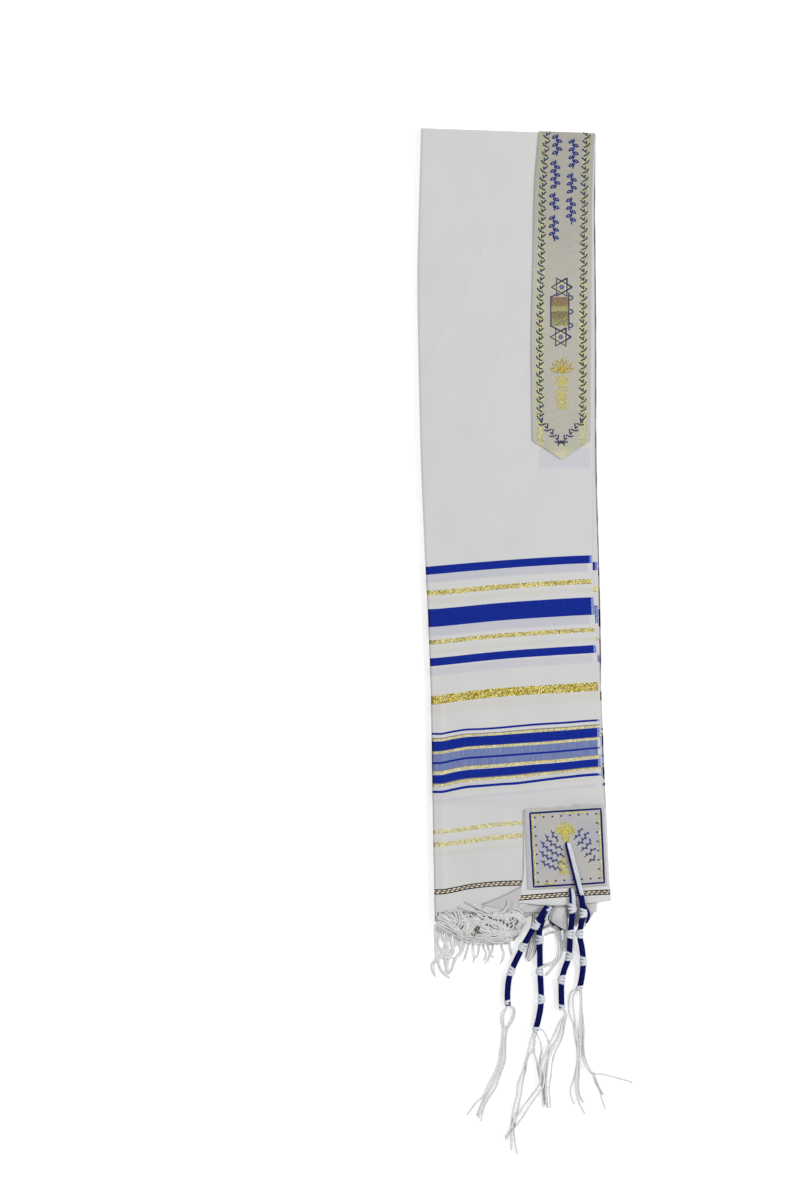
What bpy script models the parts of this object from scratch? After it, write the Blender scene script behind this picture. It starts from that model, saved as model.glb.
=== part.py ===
# A prayer shawl (tallit) of woven cloth, halved along its length, folded in three across its
# width and laid flat. X runs across it, Y along it towards the fold, Z up from the surface it
# lies on. The tables are in millimetres; point() turns them into metres.

import math

import bmesh
import bpy
from mathutils import Vector

MM = 0.001                          # one millimetre in metres

# Thicknesses and heights of the plies, in mm
GAP = 0.3                           # between pieces that lie on each other
CLOTH = 1.2                         # wall of a ply
BAND = 1.0                          # wall of the neckband and of the corner patch
LAYERS_TOP = 5.6                    # four plies under the second one
SECOND_TOP = LAYERS_TOP + GAP + CLOTH
FRONT_TOP = SECOND_TOP + GAP + CLOTH
CORNER_TOP = FRONT_TOP + GAP + CLOTH
PATCH_TOP = CORNER_TOP + GAP + BAND

LEFT_RADIUS = 3.0                   # the front ply's face at the left fold
TOP_RADIUS = 2.5                    # and at the top fold
LEFT_TURN = math.radians(-60)       # how far the face turns under at the left fold
TURN_FADE = 24.0                    # length over which that turn starts, below the top fold

# The long edges of the folded cloth, read along y
EDGE_ROWS = [
    # y, left fold, front ply, second ply, fold beneath
    (-320.0, -99.0, 95.0, 79.0, 79.0),
    (-284.0, -99.4, 94.1, 79.5, 79.1),
    (-256.0, -99.8, 92.3, 85.0, 84.5),
    (-229.0, -100.4, 91.0, 88.2, 89.2),
    (-177.0, -101.3, 88.3, 87.0, 88.2),
    (-131.0, -102.1, 86.6, 85.8, 86.9),
    (-53.0, -103.4, 81.5, 82.4, 83.6),
    (27.0, -106.4, 76.7, 80.9, 82.5),
    (90.0, -109.6, 74.3, 79.2, 80.8),
    (198.0, -114.2, 73.9, 76.0, 78.3),
    (332.0, -117.3, 74.0, 75.8, 78.0),
    (402.0, -118.0, 74.2, 75.8, 77.4),
    (472.0, -116.6, 74.3, 75.6, 76.7),
    (520.0, -115.2, 76.2, 76.6, 76.8),
    (564.0, -114.0, 78.5, 77.5, 77.2),
]
LEFT, FRONT_RIGHT, SECOND_RIGHT, FOLD_RIGHT = 1, 2, 3, 4

# The woven ends, read along x
FRONT_HEM = [(-110.0, -288.8), (-48.0, -287.7), (-6.0, -283.3), (40.0, -280.0), (100.0, -277.0)]
SECOND_HEM = [(-110.0, -298.0), (-60.0, -301.0), (-20.0, -300.0), (10.0, -297.0), (35.0, -299.0),
              (60.0, -300.0), (90.0, -295.0)]
LAYERS_HEM = [(-110.0, -305.0), (-85.0, -311.0), (-64.0, -318.0), (-38.0, -322.0),
              (-20.0, -320.0), (-5.0, -308.0), (8.0, -301.0), (25.0, -300.0), (48.0, -303.0),
              (62.0, -312.0), (72.0, -302.0), (84.0, -284.0)]
TOP_EDGE = [(-114.0, 564.0), (78.5, 557.2)]

# The largest soft ridges of the front ply: a line from one end to the other
RIDGES = [
    # x1, y1, x2, y2, height, half width
    (-93.0, -60.0, -90.0, -276.0, 0.7, 7.0),
    (-109.0, 300.0, -88.0, 340.0, 0.5, 5.0),
    (-78.0, -170.0, -24.0, -174.0, 0.5, 5.0),
    (12.0, -176.0, 82.0, -171.0, 0.5, 5.0),
    (-48.0, -284.0, -10.0, -268.0, 0.8, 6.0),
    (-50.0, 436.0, -44.0, 420.0, 0.4, 4.0),
]

# Side walls of the four plies beneath: how far each level lies inside the outline
LAYER_LEVELS = [
    # z, left, right, top, hem
    (0.00, 0.9, 1.8, 1.0, 0.9),
    (0.40, 0.2, 0.9, 0.4, 0.2),
    (0.90, 0.2, 0.4, 0.1, 0.2),
    (1.25, 1.1, 0.2, 0.0, 1.3),
    (1.60, 0.2, 0.1, 0.0, 0.0),
    (2.10, 0.2, 0.0, 0.3, 0.0),
    (2.60, 1.2, 0.0, 1.4, 1.3),
    (3.00, 2.8, 0.0, 0.4, 0.5),
    (3.60, 2.7, 0.1, 0.1, 0.4),
    (4.10, 3.6, 0.3, 0.1, 1.5),
    (4.55, 2.7, 0.6, 0.2, 0.6),
    (5.10, 2.9, 1.0, 0.6, 0.8),
    (5.60, 3.6, 1.9, 1.4, 1.6),
]

# The neckband's long edges, and its pointed end
BAND_ROWS = [
    # y, left, right
    (190.0, 8.6, 71.6),
    (220.0, 8.1, 71.9),
    (332.0, 7.0, 72.6),
    (423.0, 9.0, 73.3),
    (498.0, 10.5, 74.1),
    (561.0, 15.4, 76.8),
]
BAND_POINT = (40.4, 200.0)          # its tip
BAND_SHOULDER = 220.6               # where the two slanted sides start

# The corner that lies over the front ply, and the patch that is sewn on it
CORNER = {"left_top": (-1.4, -187.0), "middle_top": (42.0, -185.4), "right_top": (88.2, -183.0),
          "left_low": (-7.3, -286.6), "middle_low": (34.5, -289.6), "right_low": (93.6, -284.6)}
PATCH = {"left_top": (-0.4, -183.6), "middle_top": (42.0, -181.4), "right_top": (86.2, -178.6),
         "left_low": (3.4, -272.0), "middle_low": (46.0, -270.0), "right_low": (90.0, -267.6)}
PATCH_STEP = 2.6                    # length of the patch's step over the corner's upper edge
EYELET = (46.6, -221.7)             # the hole that a tzitzit is knotted through
SECOND_EYELET = (48.6, -275.2)      # the one below the patch
EYELET_RADIUS = 2.6

# The hem that curls up between the tzitzit: an arch open towards the hem
CURL = {"centre": 40.2, "half_width": 7.1, "back": -291.6, "mouth": -311.0, "height": 7.2}

STEM_RADIUS = 3.3                   # wound stem of a tzitzit
KNOT_RADIUS = 4.1
KNOT_HALF = 2.6                     # half the length of a double knot
TAIL_RADIUS = 0.7                   # a tail thread, also of the fringe
LOOP_RADIUS = 1.15                  # the two threads of a loop above the first knot

# Stems of the tzitzit, from the shawl down, and where the knots sit along them
STEMS = {
    "tzitzit_1": {
        "route": [(24.0, -291.6, 11.4), (11.4, -310.8, 10.4), (-2.9, -336.7, 6.6),
                  (-15.8, -364.7, 4.5), (-18.9, -385.0, 4.5), (-18.5, -399.9, 4.5)],
        "knots": [3.0, 24.0, 53.0, 83.0, 116.0]},
    "tzitzit_2": {
        "route": [(30.0, -297.6, 10.9), (27.6, -303.5, 10.4), (23.6, -312.6, 7.9),
                  (17.6, -327.3, 4.8), (16.2, -345.0, 4.5), (16.9, -362.5, 4.5),
                  (18.0, -393.3, 4.5), (15.6, -412.0, 4.5), (11.9, -426.3, 4.5)],
        "knots": [8.5, 33.0, 68.0, 99.0, 131.0]},
    "tzitzit_3": {
        "route": [(51.3, -289.0, 14.3), (51.6, -300.0, 13.6), (49.9, -320.7, 9.2),
                  (48.4, -345.4, 5.2), (43.0, -362.0, 4.5), (40.3, -375.0, 4.5),
                  (40.5, -402.0, 4.5)],
        "knots": [3.4, 32.0, 57.5, 84.5, 113.0]},
    "tzitzit_4": {
        "route": [(61.3, -277.8, 14.2), (63.4, -297.0, 14.0), (60.2, -320.7, 9.6),
                  (62.6, -336.0, 6.6), (64.2, -350.4, 4.7), (63.2, -366.0, 4.5),
                  (60.4, -380.6, 4.5)],
        "knots": [19.5, 43.0, 74.5, 103.0]},
}

# The two threads of a loop, from the eyelet to the stem
LOOPS = {
    "tzitzit_3": [(48.6, -274.8, 9.3), (48.6, -275.2, 11.0), (49.2, -278.6, 12.2),
                  (50.4, -283.0, 12.8), (51.3, -290.5, 14.2)],
    "tzitzit_4": [(46.6, -221.3, 9.5), (46.6, -221.5, 12.0), (47.3, -225.0, 13.2),
                  (49.0, -231.5, 13.3), (54.7, -254.0, 13.3), (61.3, -279.5, 14.2)],
}
LOOP_SPREAD = 1.25                  # each thread's distance from the middle of the pair

# Tail threads: four to a bundle, side by side and on two levels in turn
LEVEL = 1.65                        # height of one thread's level over the one below
TAIL_FLOOR = 1.1                    # height of the lowest thread's middle
TAIL_PITCH = 0.95                   # sideways step from one thread to the next
ROOT_STEP = 1.55                    # between the roots in a stem's end, across and up
TAIL_STEP = 14.0                    # length of one straight piece of a tail
TAILS = [
    # stem, side of its end, first root, threads, spread at the tail's end, then where its
    # middle lies: x, y, level
    ("tzitzit_1", -1, 0, 4, 2.4, [(-25.6, -412.0, 0), (-26.2, -428.5, 0), (-28.2, -455.0, 0),
                                  (-38.0, -477.0, 0), (-49.0, -498.0, 0), (-63.6, -527.0, 0)]),
    ("tzitzit_1", 1, 0, 4, 1.9, [(-11.4, -409.0, 0), (-17.4, -428.5, 0), (-20.6, -455.0, 0),
                                 (-27.4, -477.0, 0), (-37.0, -498.0, 0), (-49.0, -527.0, 0)]),
    ("tzitzit_2", -1, 0, 4, 1.7, [(5.6, -438.0, 0), (2.1, -460.4, 0), (-6.8, -489.0, 0),
                                  (-12.6, -530.8, 0), (-10.6, -563.6, 0)]),
    ("tzitzit_2", 1, 0, 4, 1.6, [(18.4, -440.0, 0), (15.0, -464.8, 0), (14.6, -490.0, 0),
                                 (3.0, -512.0, 1), (-8.0, -529.0, 2.2), (-20.6, -547.0, 2.2)]),
    ("tzitzit_3", -1, 0, 4, 1.7, [(37.0, -414.0, 0), (30.4, -430.0, 0), (25.6, -450.0, 0),
                                  (24.0, -478.0, 0), (23.0, -513.0, 0)]),
    ("tzitzit_3", 1, 0, 4, 1.5, [(46.0, -414.0, 0), (38.6, -430.0, 0), (33.2, -450.0, 0),
                                 (31.6, -478.0, 0), (32.0, -511.0, 0)]),
    ("tzitzit_4", -1, 0, 4, 2.4, [(52.0, -396.0, 0), (51.6, -418.0, 0), (56.0, -448.3, 0),
                                  (55.4, -482.4, 0), (60.2, -516.0, 0)]),
    ("tzitzit_4", 1, 0, 3, 2.6, [(61.0, -400.0, 0), (61.6, -419.7, 0), (65.4, -445.0, 0),
                                 (71.0, -467.0, 0), (80.0, -488.0, 0), (88.6, -513.0, 0)]),
    ("tzitzit_4", 1, 3, 1, 1.0, [(66.6, -396.0, 0), (69.6, -425.0, 0), (74.4, -446.0, 0),
                                 (83.0, -466.0, 0), (98.0, -480.6, 0), (130.0, -486.0, 0)]),
]

# The fringe: roots a step apart along a hem, shared out in turn to the rows of threads
FRINGE_ROOT = 0.9                   # how deep a root goes into its strip
STRIP = 2.0                         # width of the strip that holds the roots
LEDGE = 2.0                         # how far past the plies' hem a thread turns down
FRINGE_SLOPE = 0.8                  # and how steeply
FRINGE = {
    "fringe_front": {
        "hem": FRONT_HEM, "first": -96.5, "last": -10.5, "step": 1.9, "share": 3,
        "points": 6,
        # level, sweep, wave
        "rows": [(0, -9.0, 1.6), (1, 15.0, 2.4)]},
    "fringe_under": {
        "hem": LAYERS_HEM, "first": -96.0, "last": -11.0, "step": 3.2, "share": 1, "points": 5,
        "rows": [(0, -3.5, 1.6)]},
    "fringe_mid": {
        "hem": LAYERS_HEM, "first": 4.0, "last": 14.0, "step": 1.6, "share": 2, "points": 5,
        "rows": [(0, -4.0, 0.4), (1, -6.0, 0.4)]},
    "fringe_right": {
        "hem": LAYERS_HEM, "first": 33.5, "last": 42.5, "step": 1.6, "share": 2, "points": 6,
        "rows": [(0, -8.0, 0.8), (1, 0.0, 0.8)]},
}
# How far down each tuft's threads reach, read along x
FRINGE_ENDS = {
    "fringe_front": [(-100.0, -316.0), (-64.0, -331.0), (-38.0, -334.0), (-20.0, -322.0),
                     (-10.0, -306.0)],
    "fringe_under": [(-100.0, -367.0), (-80.0, -366.0), (-66.0, -353.0), (-45.0, -352.0),
                     (-27.0, -356.0), (-10.0, -340.0)],
    "fringe_mid": [(4.0, -354.0), (14.0, -349.0)],
    "fringe_right": [(33.0, -366.0), (38.0, -358.0), (43.0, -338.0)],
}
LONG_THREADS = [                    # on top of the front fringe: slot of its root, then x, y
    (11, [(-32.0, -297.0), (-42.0, -303.0), (-58.0, -300.0), (-72.0, -293.5)]),
    (5, [(-64.0, -297.0), (-60.0, -308.0), (-68.0, -320.0), (-82.0, -318.0)]),
    (14, [(-12.0, -297.0), (-8.0, -306.0), (-12.0, -316.0), (-24.0, -321.0), (-38.0, -316.0)]),
]

COLOURS = {
    # red, green, blue, roughness
    "cloth": (0.66, 0.66, 0.65, 0.75),
    "band": (0.50, 0.48, 0.40, 0.55),
    "patch": (0.46, 0.45, 0.45, 0.50),
    "stem": (0.010, 0.014, 0.10, 0.60),
    "thread": (0.70, 0.70, 0.70, 0.70),
}


def point(x, y, z):
    return Vector((x * MM, y * MM, z * MM))


def read(rows, at, column=1):
    """A column's value at a place, on a smooth curve through the rows."""
    places = [row[0] for row in rows]
    values = [row[column] for row in rows]
    if at <= places[0]:
        return values[0]
    if at >= places[-1]:
        return values[-1]
    after = next(i for i, place in enumerate(places) if place > at)
    before = after - 1
    span = places[after] - places[before]

    def slope(i):
        low, high = max(i - 1, 0), min(i + 1, len(places) - 1)
        return (values[high] - values[low]) / (places[high] - places[low])

    t = (at - places[before]) / span
    rise = values[after] - values[before]
    start, end = slope(before) * span, slope(after) * span
    return values[before] + t * start + t * t * (3 * rise - 2 * start - end) \
        + t * t * t * (start + end - 2 * rise)


def blend(a, b, share):
    return a + (b - a) * share


def relief(x, y):
    """Height of the soft ridges over the front ply's flat face, in mm."""
    height = 0.0
    for x1, y1, x2, y2, top, half in RIDGES:
        line = Vector((x2 - x1, y2 - y1))
        start = Vector((x - x1, y - y1))
        share = min(max(start.dot(line) / line.length_squared, 0.0), 1.0)
        away = (start - line * share).length / half
        if away < 1.0:
            height = max(height, top * (0.5 + 0.5 * math.cos(math.pi * away)))
    return height


def roll(distance, radius):
    """Inward step and drop of a face that turns over a fold, at a distance from its edge line."""
    quarter = radius * math.pi / 2
    if distance >= quarter:
        return radius + distance - quarter, 0.0
    turn = distance / radius
    return radius * (1 - math.cos(turn)), radius * (1 - math.sin(turn))


def material(name):
    red, green, blue, roughness = COLOURS[name]
    made = bpy.data.materials.get(name) or bpy.data.materials.new(name)
    made.use_nodes = True
    shader = made.node_tree.nodes["Principled BSDF"]
    shader.inputs["Base Color"].default_value = (red, green, blue, 1.0)
    shader.inputs["Roughness"].default_value = roughness
    shader.inputs["Metallic"].default_value = 0.0
    return made


def add_object(name, mesh, finish):
    made = bpy.data.objects.new(name, mesh)
    mesh.materials.clear()
    mesh.materials.append(material(finish))
    parts.objects.link(made)
    return made


def hide_guide(guide):
    parts.objects.unlink(guide)
    guides.objects.link(guide)
    guide.hide_render = True
    guide.display_type = "WIRE"


def sheet(name, columns, rows, place, wall, finish):
    """A ply: a grid whose points are placed one by one, given a wall on its lower side."""
    bm = bmesh.new()
    bmesh.ops.create_grid(bm, x_segments=len(columns) - 1, y_segments=len(rows) - 1, size=1.0)
    for vert in bm.verts:
        column = columns[round((vert.co.x + 1) / 2 * (len(columns) - 1))]
        row = rows[round((vert.co.y + 1) / 2 * (len(rows) - 1))]
        vert.co = place(column, row)
    bmesh.ops.recalc_face_normals(bm, faces=bm.faces)
    if sum(face.normal.z for face in bm.faces) < 0:
        bmesh.ops.reverse_faces(bm, faces=bm.faces)
    mesh = bpy.data.meshes.new(name)
    bm.to_mesh(mesh)
    bm.free()
    made = add_object(name, mesh, finish)
    shell = made.modifiers.new("wall", "SOLIDIFY")
    shell.thickness = wall * MM
    shell.offset = -1.0
    return made


def even(count, first=0.0, last=1.0):
    return [blend(first, last, i / (count - 1)) for i in range(count)]


def top_y(x):
    (x1, y1), (x2, y2) = TOP_EDGE
    return y1 + (x - x1) * (y2 - y1) / (x2 - x1)


def front_face(column, row):
    """The front ply's face: a column and a row each give a distance round a fold and a share."""
    around, across = column
    over, down = row
    step_y, drop_y = roll(over, TOP_RADIUS)
    x = 0.0
    for _ in range(3):
        top = top_y(x) - step_y
        y = blend(top, read(FRONT_HEM, x), down)
        below = min(max((top_y(x) - y) / TURN_FADE, 0.0), 1.0)
        turned = max(around, LEFT_TURN * LEFT_RADIUS * below)
        step_x, drop_x = roll(turned, LEFT_RADIUS)
        left = read(EDGE_ROWS, y, LEFT) + step_x
        x = blend(left, read(EDGE_ROWS, y, FRONT_RIGHT), across)
    return point(x, y, FRONT_TOP - math.hypot(drop_x, drop_y) + relief(x, y))


def front_panel():
    under = LEFT_TURN * LEFT_RADIUS
    flat = LEFT_RADIUS * math.pi / 2 + 1.0
    over = TOP_RADIUS * math.pi / 2
    columns = [(around, 0.0) for around in even(4, under, 0.0) + even(4, flat / 4, flat)]
    columns += [(flat, share) for share in even(9)[1:]]
    rows = [(around, 0.0) for around in even(4, 0.0, over)]
    rows += [(over, share) for share in even(28)[1:]]
    sheet("front_panel", columns, rows, front_face, CLOTH, "cloth")


def flat_place(left, right, top, low, height):
    """A placing function for a ply that lies flat between two side edges and two ends."""
    def place(across, down):
        x = 0.0
        for _ in range(4):
            y = blend(top(x), low(x), down)
            x = blend(left(y), right(y), across)
        return point(x, y, height(x, y))
    return place


def second_ply():
    inset = 2.6                     # clear of the front ply where that rolls over the folds
    place = flat_place(lambda y: read(EDGE_ROWS, y, LEFT) + inset,
                       lambda y: read(EDGE_ROWS, y, SECOND_RIGHT),
                       lambda x: top_y(x) - inset,
                       lambda x: read(SECOND_HEM, x),
                       lambda x, y: SECOND_TOP)
    sheet("second_ply", even(5), even(22), place, CLOTH, "cloth")


def folded_layers():
    """The plies beneath as rings, one for each level, joined and closed above and below."""
    side, end, fold = even(26), even(24), even(5)
    corner = 2.0                    # the outline's corners are cut this far
    upper_left, upper_right = (-114.0, 564.0), (77.0, 557.0)
    lower_left, lower_right = -300.0, -286.0
    bm = bmesh.new()
    rings = []
    for z, left_in, right_in, top_in, hem_in in LAYER_LEVELS:
        def left(y):
            return read(EDGE_ROWS, y, LEFT) + left_in

        def right(y):
            return read(EDGE_ROWS, y, FOLD_RIGHT) - right_in

        def low(x):
            return read(LAYERS_HEM, x) + hem_in

        ring = []
        x_left, x_right = left(lower_left), right(lower_right)
        for share in side:
            y = blend(top_y(upper_left[0]) - top_in - corner, low(x_left) + corner, share)
            ring.append((left(y), y))
        for share in end:
            x = blend(x_left + corner, x_right - corner, share)
            ring.append((x, low(x)))
        for share in side:
            y = blend(low(x_right) + corner, top_y(upper_right[0]) - top_in - corner, share)
            ring.append((right(y), y))
        for share in fold:
            x = blend(right(upper_right[1]) - corner, left(upper_left[1]) + corner, share)
            ring.append((x, top_y(x) - top_in))
        rings.append([bm.verts.new(point(x, y, z)) for x, y in ring])
    for lower, upper in zip(rings, rings[1:]):
        for i in range(len(lower)):
            after = (i + 1) % len(lower)
            bm.faces.new((lower[i], lower[after], upper[after], upper[i]))
    bm.faces.new(list(reversed(rings[0])))
    bm.faces.new(rings[-1])
    bmesh.ops.recalc_face_normals(bm, faces=bm.faces)
    mesh = bpy.data.meshes.new("folded_layers")
    bm.to_mesh(mesh)
    bm.free()
    add_object("folded_layers", mesh, "cloth")


def neckband():
    """The woven band on the front ply, over the top fold and down to its pointed end."""
    lift = GAP + BAND
    radius = TOP_RADIUS + lift
    quarter = radius * math.pi / 2

    def place(across, row):
        over, down = row
        step_y, drop_y = roll(over, radius)
        x = BAND_POINT[0]
        for _ in range(4):
            slant = (BAND_SHOULDER - BAND_POINT[1]) * abs(2 * across - 1)
            y = blend(top_y(x) + lift - step_y, BAND_POINT[1] + slant, down)
            x = blend(read(BAND_ROWS, y, 1), read(BAND_ROWS, y, 2), across)
        return point(x, y, FRONT_TOP + lift - drop_y + relief(x, y))

    rows = [(over, 0.0) for over in even(4, 0.0, quarter)]
    rows += [(quarter, share) for share in even(15)[1:]]
    sheet("neckband", even(9), rows, place, BAND, "band")


def side_line(upper, lower):
    return lambda y: blend(lower[0], upper[0], (y - lower[1]) / (upper[1] - lower[1]))


def bowed_line(first, middle, last):
    rows = sorted([first, middle, last])
    return lambda x: read(rows, x)


def eyelet_cutter(name, place):
    bpy.ops.mesh.primitive_cylinder_add(vertices=10, radius=EYELET_RADIUS * MM, depth=20 * MM,
                                        location=point(place[0], place[1], PATCH_TOP))
    cutter = bpy.context.object
    cutter.name = name
    for owner in list(cutter.users_collection):
        owner.objects.unlink(cutter)
    parts.objects.link(cutter)
    hide_guide(cutter)
    return cutter


def cut(made, cutter):
    hole = made.modifiers.new("eyelet", "BOOLEAN")
    hole.operation = "DIFFERENCE"
    hole.object = cutter


def corner_pieces():
    """The corner of cloth over the front ply, and the patch on it, with their eyelets."""
    upper_hole = eyelet_cutter("eyelet_upper", EYELET)
    lower_hole = eyelet_cutter("eyelet_lower", SECOND_EYELET)

    def ends(outline):
        return (bowed_line(outline["left_top"], outline["middle_top"], outline["right_top"]),
                bowed_line(outline["left_low"], outline["middle_low"], outline["right_low"]))

    top, low = ends(CORNER)
    place = flat_place(side_line(CORNER["left_top"], CORNER["left_low"]),
                       lambda y: read(EDGE_ROWS, y, FRONT_RIGHT) + 0.2,
                       top, low, lambda x, y: CORNER_TOP)
    corner = sheet("front_corner", even(9), even(9), place, CLOTH, "cloth")
    cut(corner, upper_hole)
    cut(corner, lower_hole)

    top, low = ends(PATCH)

    def patch_height(x, y):
        """The patch steps down over the corner's upper edge, onto the front ply."""
        share = min(max((top(x) - y) / PATCH_STEP, 0.0), 1.0)
        on_front = FRONT_TOP + GAP + BAND + relief(x, y)
        return blend(on_front, PATCH_TOP, share * share * (3 - 2 * share))

    place = flat_place(side_line(PATCH["left_top"], PATCH["left_low"]),
                       side_line(PATCH["right_top"], PATCH["right_low"]),
                       top, low, patch_height)
    patch = sheet("corner_patch", even(9), even(4, 0.0, 0.03) + even(7, 0.05, 1.0), place,
                  BAND, "patch")
    cut(patch, upper_hole)


def hem_curl():
    """The hem of a lower ply, curled up into a small arch."""
    base = SECOND_TOP + GAP + 0.1

    def place(turn, along):
        open_share = math.sin(along * math.pi / 2) ** 0.6
        half = CURL["half_width"] * blend(0.62, 1.0, open_share)
        height = CLOTH + (CURL["height"] - CLOTH) * blend(0.25, 1.0, open_share)
        angle = blend(math.pi, 0.0, turn)
        return point(CURL["centre"] + half * math.cos(angle),
                     blend(CURL["back"], CURL["mouth"], along),
                     base + height * max(math.sin(angle), 0.0) ** 0.8)

    sheet("hem_curl", even(11), even(6), place, CLOTH, "cloth")


def smooth_route(places, step):
    """Points about a step apart on a smooth curve through the places."""
    places = [Vector(place) for place in places]
    route = []
    for i in range(len(places) - 1):
        before, start = places[max(i - 1, 0)], places[i]
        end, after = places[i + 1], places[min(i + 2, len(places) - 1)]
        count = max(1, round((end - start).length / step))
        for j in range(count):
            t = j / count
            leave, arrive = (end - before) / 2, (after - start) / 2
            route.append(start + leave * t + (3 * (end - start) - 2 * leave - arrive) * t ** 2
                         + (leave + arrive - 2 * (end - start)) * t ** 3)
    route.append(places[-1])
    return route


def tubes(name, routes, radius, resolution, finish, swell=None):
    """Round closed tubes along routes in mm, as one mesh; swell gives each point's radius."""
    curve = bpy.data.curves.new(name, "CURVE")
    curve.dimensions = "3D"
    curve.bevel_depth = radius * MM
    curve.bevel_resolution = resolution
    curve.use_fill_caps = True
    for route in routes:
        spline = curve.splines.new("POLY")
        spline.points.add(len(route) - 1)
        for i, (place, spot) in enumerate(zip(route, spline.points)):
            spot.co = (*point(*place), 1.0)
            spot.radius = swell[i] if swell else 1.0
    drawn = bpy.data.objects.new(name, curve)
    parts.objects.link(drawn)
    graph = bpy.context.evaluated_depsgraph_get()
    graph.update()
    mesh = bpy.data.meshes.new_from_object(drawn.evaluated_get(graph))
    bpy.data.objects.remove(drawn)
    bm = bmesh.new()
    bm.from_mesh(mesh)
    bmesh.ops.remove_doubles(bm, verts=bm.verts, dist=0.01 * MM)
    bm.to_mesh(mesh)
    bm.free()
    return add_object(name, mesh, finish)


def fuse(backing, threads):
    """Unite a backing with threads whose roots go into it."""
    union = backing.modifiers.new("roots", "BOOLEAN")
    union.operation = "UNION"
    union.object = threads
    hide_guide(threads)


def stem_rings(route, knots):
    """The stem's points and how far each swells: even rings, with a bulge at each knot."""
    fine = smooth_route(route, 1.0)
    reach = [0.0]
    for a, b in zip(fine, fine[1:]):
        reach.append(reach[-1] + (b - a).length)
    rings = [(at, 1.0) for at in even(round(reach[-1] / 12), 0.0, reach[-1])
             if all(abs(at - knot) > KNOT_HALF + 2.5 for knot in knots) or at == reach[-1]]
    for knot in knots:
        rings += [(knot - KNOT_HALF, 1.0), (knot + KNOT_HALF, 1.0)]
        rings += [(knot - KNOT_HALF * 0.5, KNOT_RADIUS / STEM_RADIUS),
                  (knot + KNOT_HALF * 0.5, KNOT_RADIUS / STEM_RADIUS)]
    places, swells = [], []
    for at, swell in sorted(ring for ring in rings if 0.0 <= ring[0] <= reach[-1]):
        i = max(k for k in range(len(reach)) if reach[k] <= at)
        after = min(i + 1, len(fine) - 1)
        share = (at - reach[i]) / max(reach[after] - reach[i], 1e-6)
        places.append(fine[i].lerp(fine[after], share))
        swells.append(swell)
    return places, swells


def trimmed(route, length):
    """A route without its last stretch of a length."""
    route = list(route)
    while len(route) > 2 and (route[-1] - route[-2]).length <= length:
        length -= (route[-1] - route[-2]).length
        route.pop()
    end = route[-2] - route[-1]
    route[-1] = route[-1] + end.normalized() * length
    return route


def tail_routes(stem):
    """The tail threads below a stem: side by side in each bundle, on two levels in turn."""
    end = Vector(STEMS[stem]["route"][-1])
    down = (end - Vector(STEMS[stem]["route"][-2])).normalized()
    root = end - down * 1.5
    routes = []
    for owner, side, first, count, spread, line in TAILS:
        if owner != stem:
            continue
        for i in range(first, first + count):
            aside = (i - first - (count - 1) / 2) * TAIL_PITCH
            higher = i % 2
            places = [(root.x + ROOT_STEP * (side + i // 2 - 0.5), root.y,
                       root.z + ROOT_STEP * (higher - 0.5))]
            for k, (x, y, level) in enumerate(line):
                wide = blend(1.0, spread, max(2 * k / (len(line) - 1) - 1, 0.0))
                places.append((x + aside * wide, y, TAIL_FLOOR + (level + higher) * LEVEL))
            routes.append(trimmed(smooth_route(places, TAIL_STEP), 4.0 * ((i * 5) % 4)))
    return routes


def loop_routes(stem):
    """The two threads of a stem's loop, side by side."""
    middle = smooth_route(LOOPS[stem], 7.0)
    routes = []
    for side in (-1, 1):
        route = []
        for i, place in enumerate(middle):
            along = middle[min(i + 1, len(middle) - 1)] - middle[max(i - 1, 0)]
            across = Vector((-along.y, along.x, 0.0)).normalized()
            route.append(place + across * side * LOOP_SPREAD)
        routes.append(route)
    return routes


def tzitzit(name):
    stem = STEMS[name]
    places, swells = stem_rings(stem["route"], stem["knots"])
    body = tubes(name, [places], STEM_RADIUS, 2, "stem", swells)
    fuse(body, tubes(name + "_tails", tail_routes(name), TAIL_RADIUS, 0, "thread"))
    if name in LOOPS:
        fuse(body, tubes(name + "_loop", loop_routes(name), LOOP_RADIUS, 1, "stem"))


def drape(x, y, floor):
    """Height of what a fringe thread lies on: the plies, the slope off their edge, the surface."""
    past = read(LAYERS_HEM, x) - LEDGE - y
    return max(floor, SECOND_TOP + GAP - max(past, 0.0) * FRINGE_SLOPE)


def fringe_strip(name, base, wall):
    """The narrow strip beside a hem that holds a tuft's roots."""
    tuft = FRINGE[name]
    first, last, hem = tuft["first"] - 1.5, tuft["last"] + 1.5, tuft["hem"]
    place = flat_place(lambda y: first, lambda y: last,
                       lambda x: read(hem, x) - GAP, lambda x: read(hem, x) - GAP - STRIP,
                       lambda x, y: base + wall)
    count = max(3, round((last - first) / 9))
    return sheet(name, even(count), even(2), place, wall, "thread")


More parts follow.
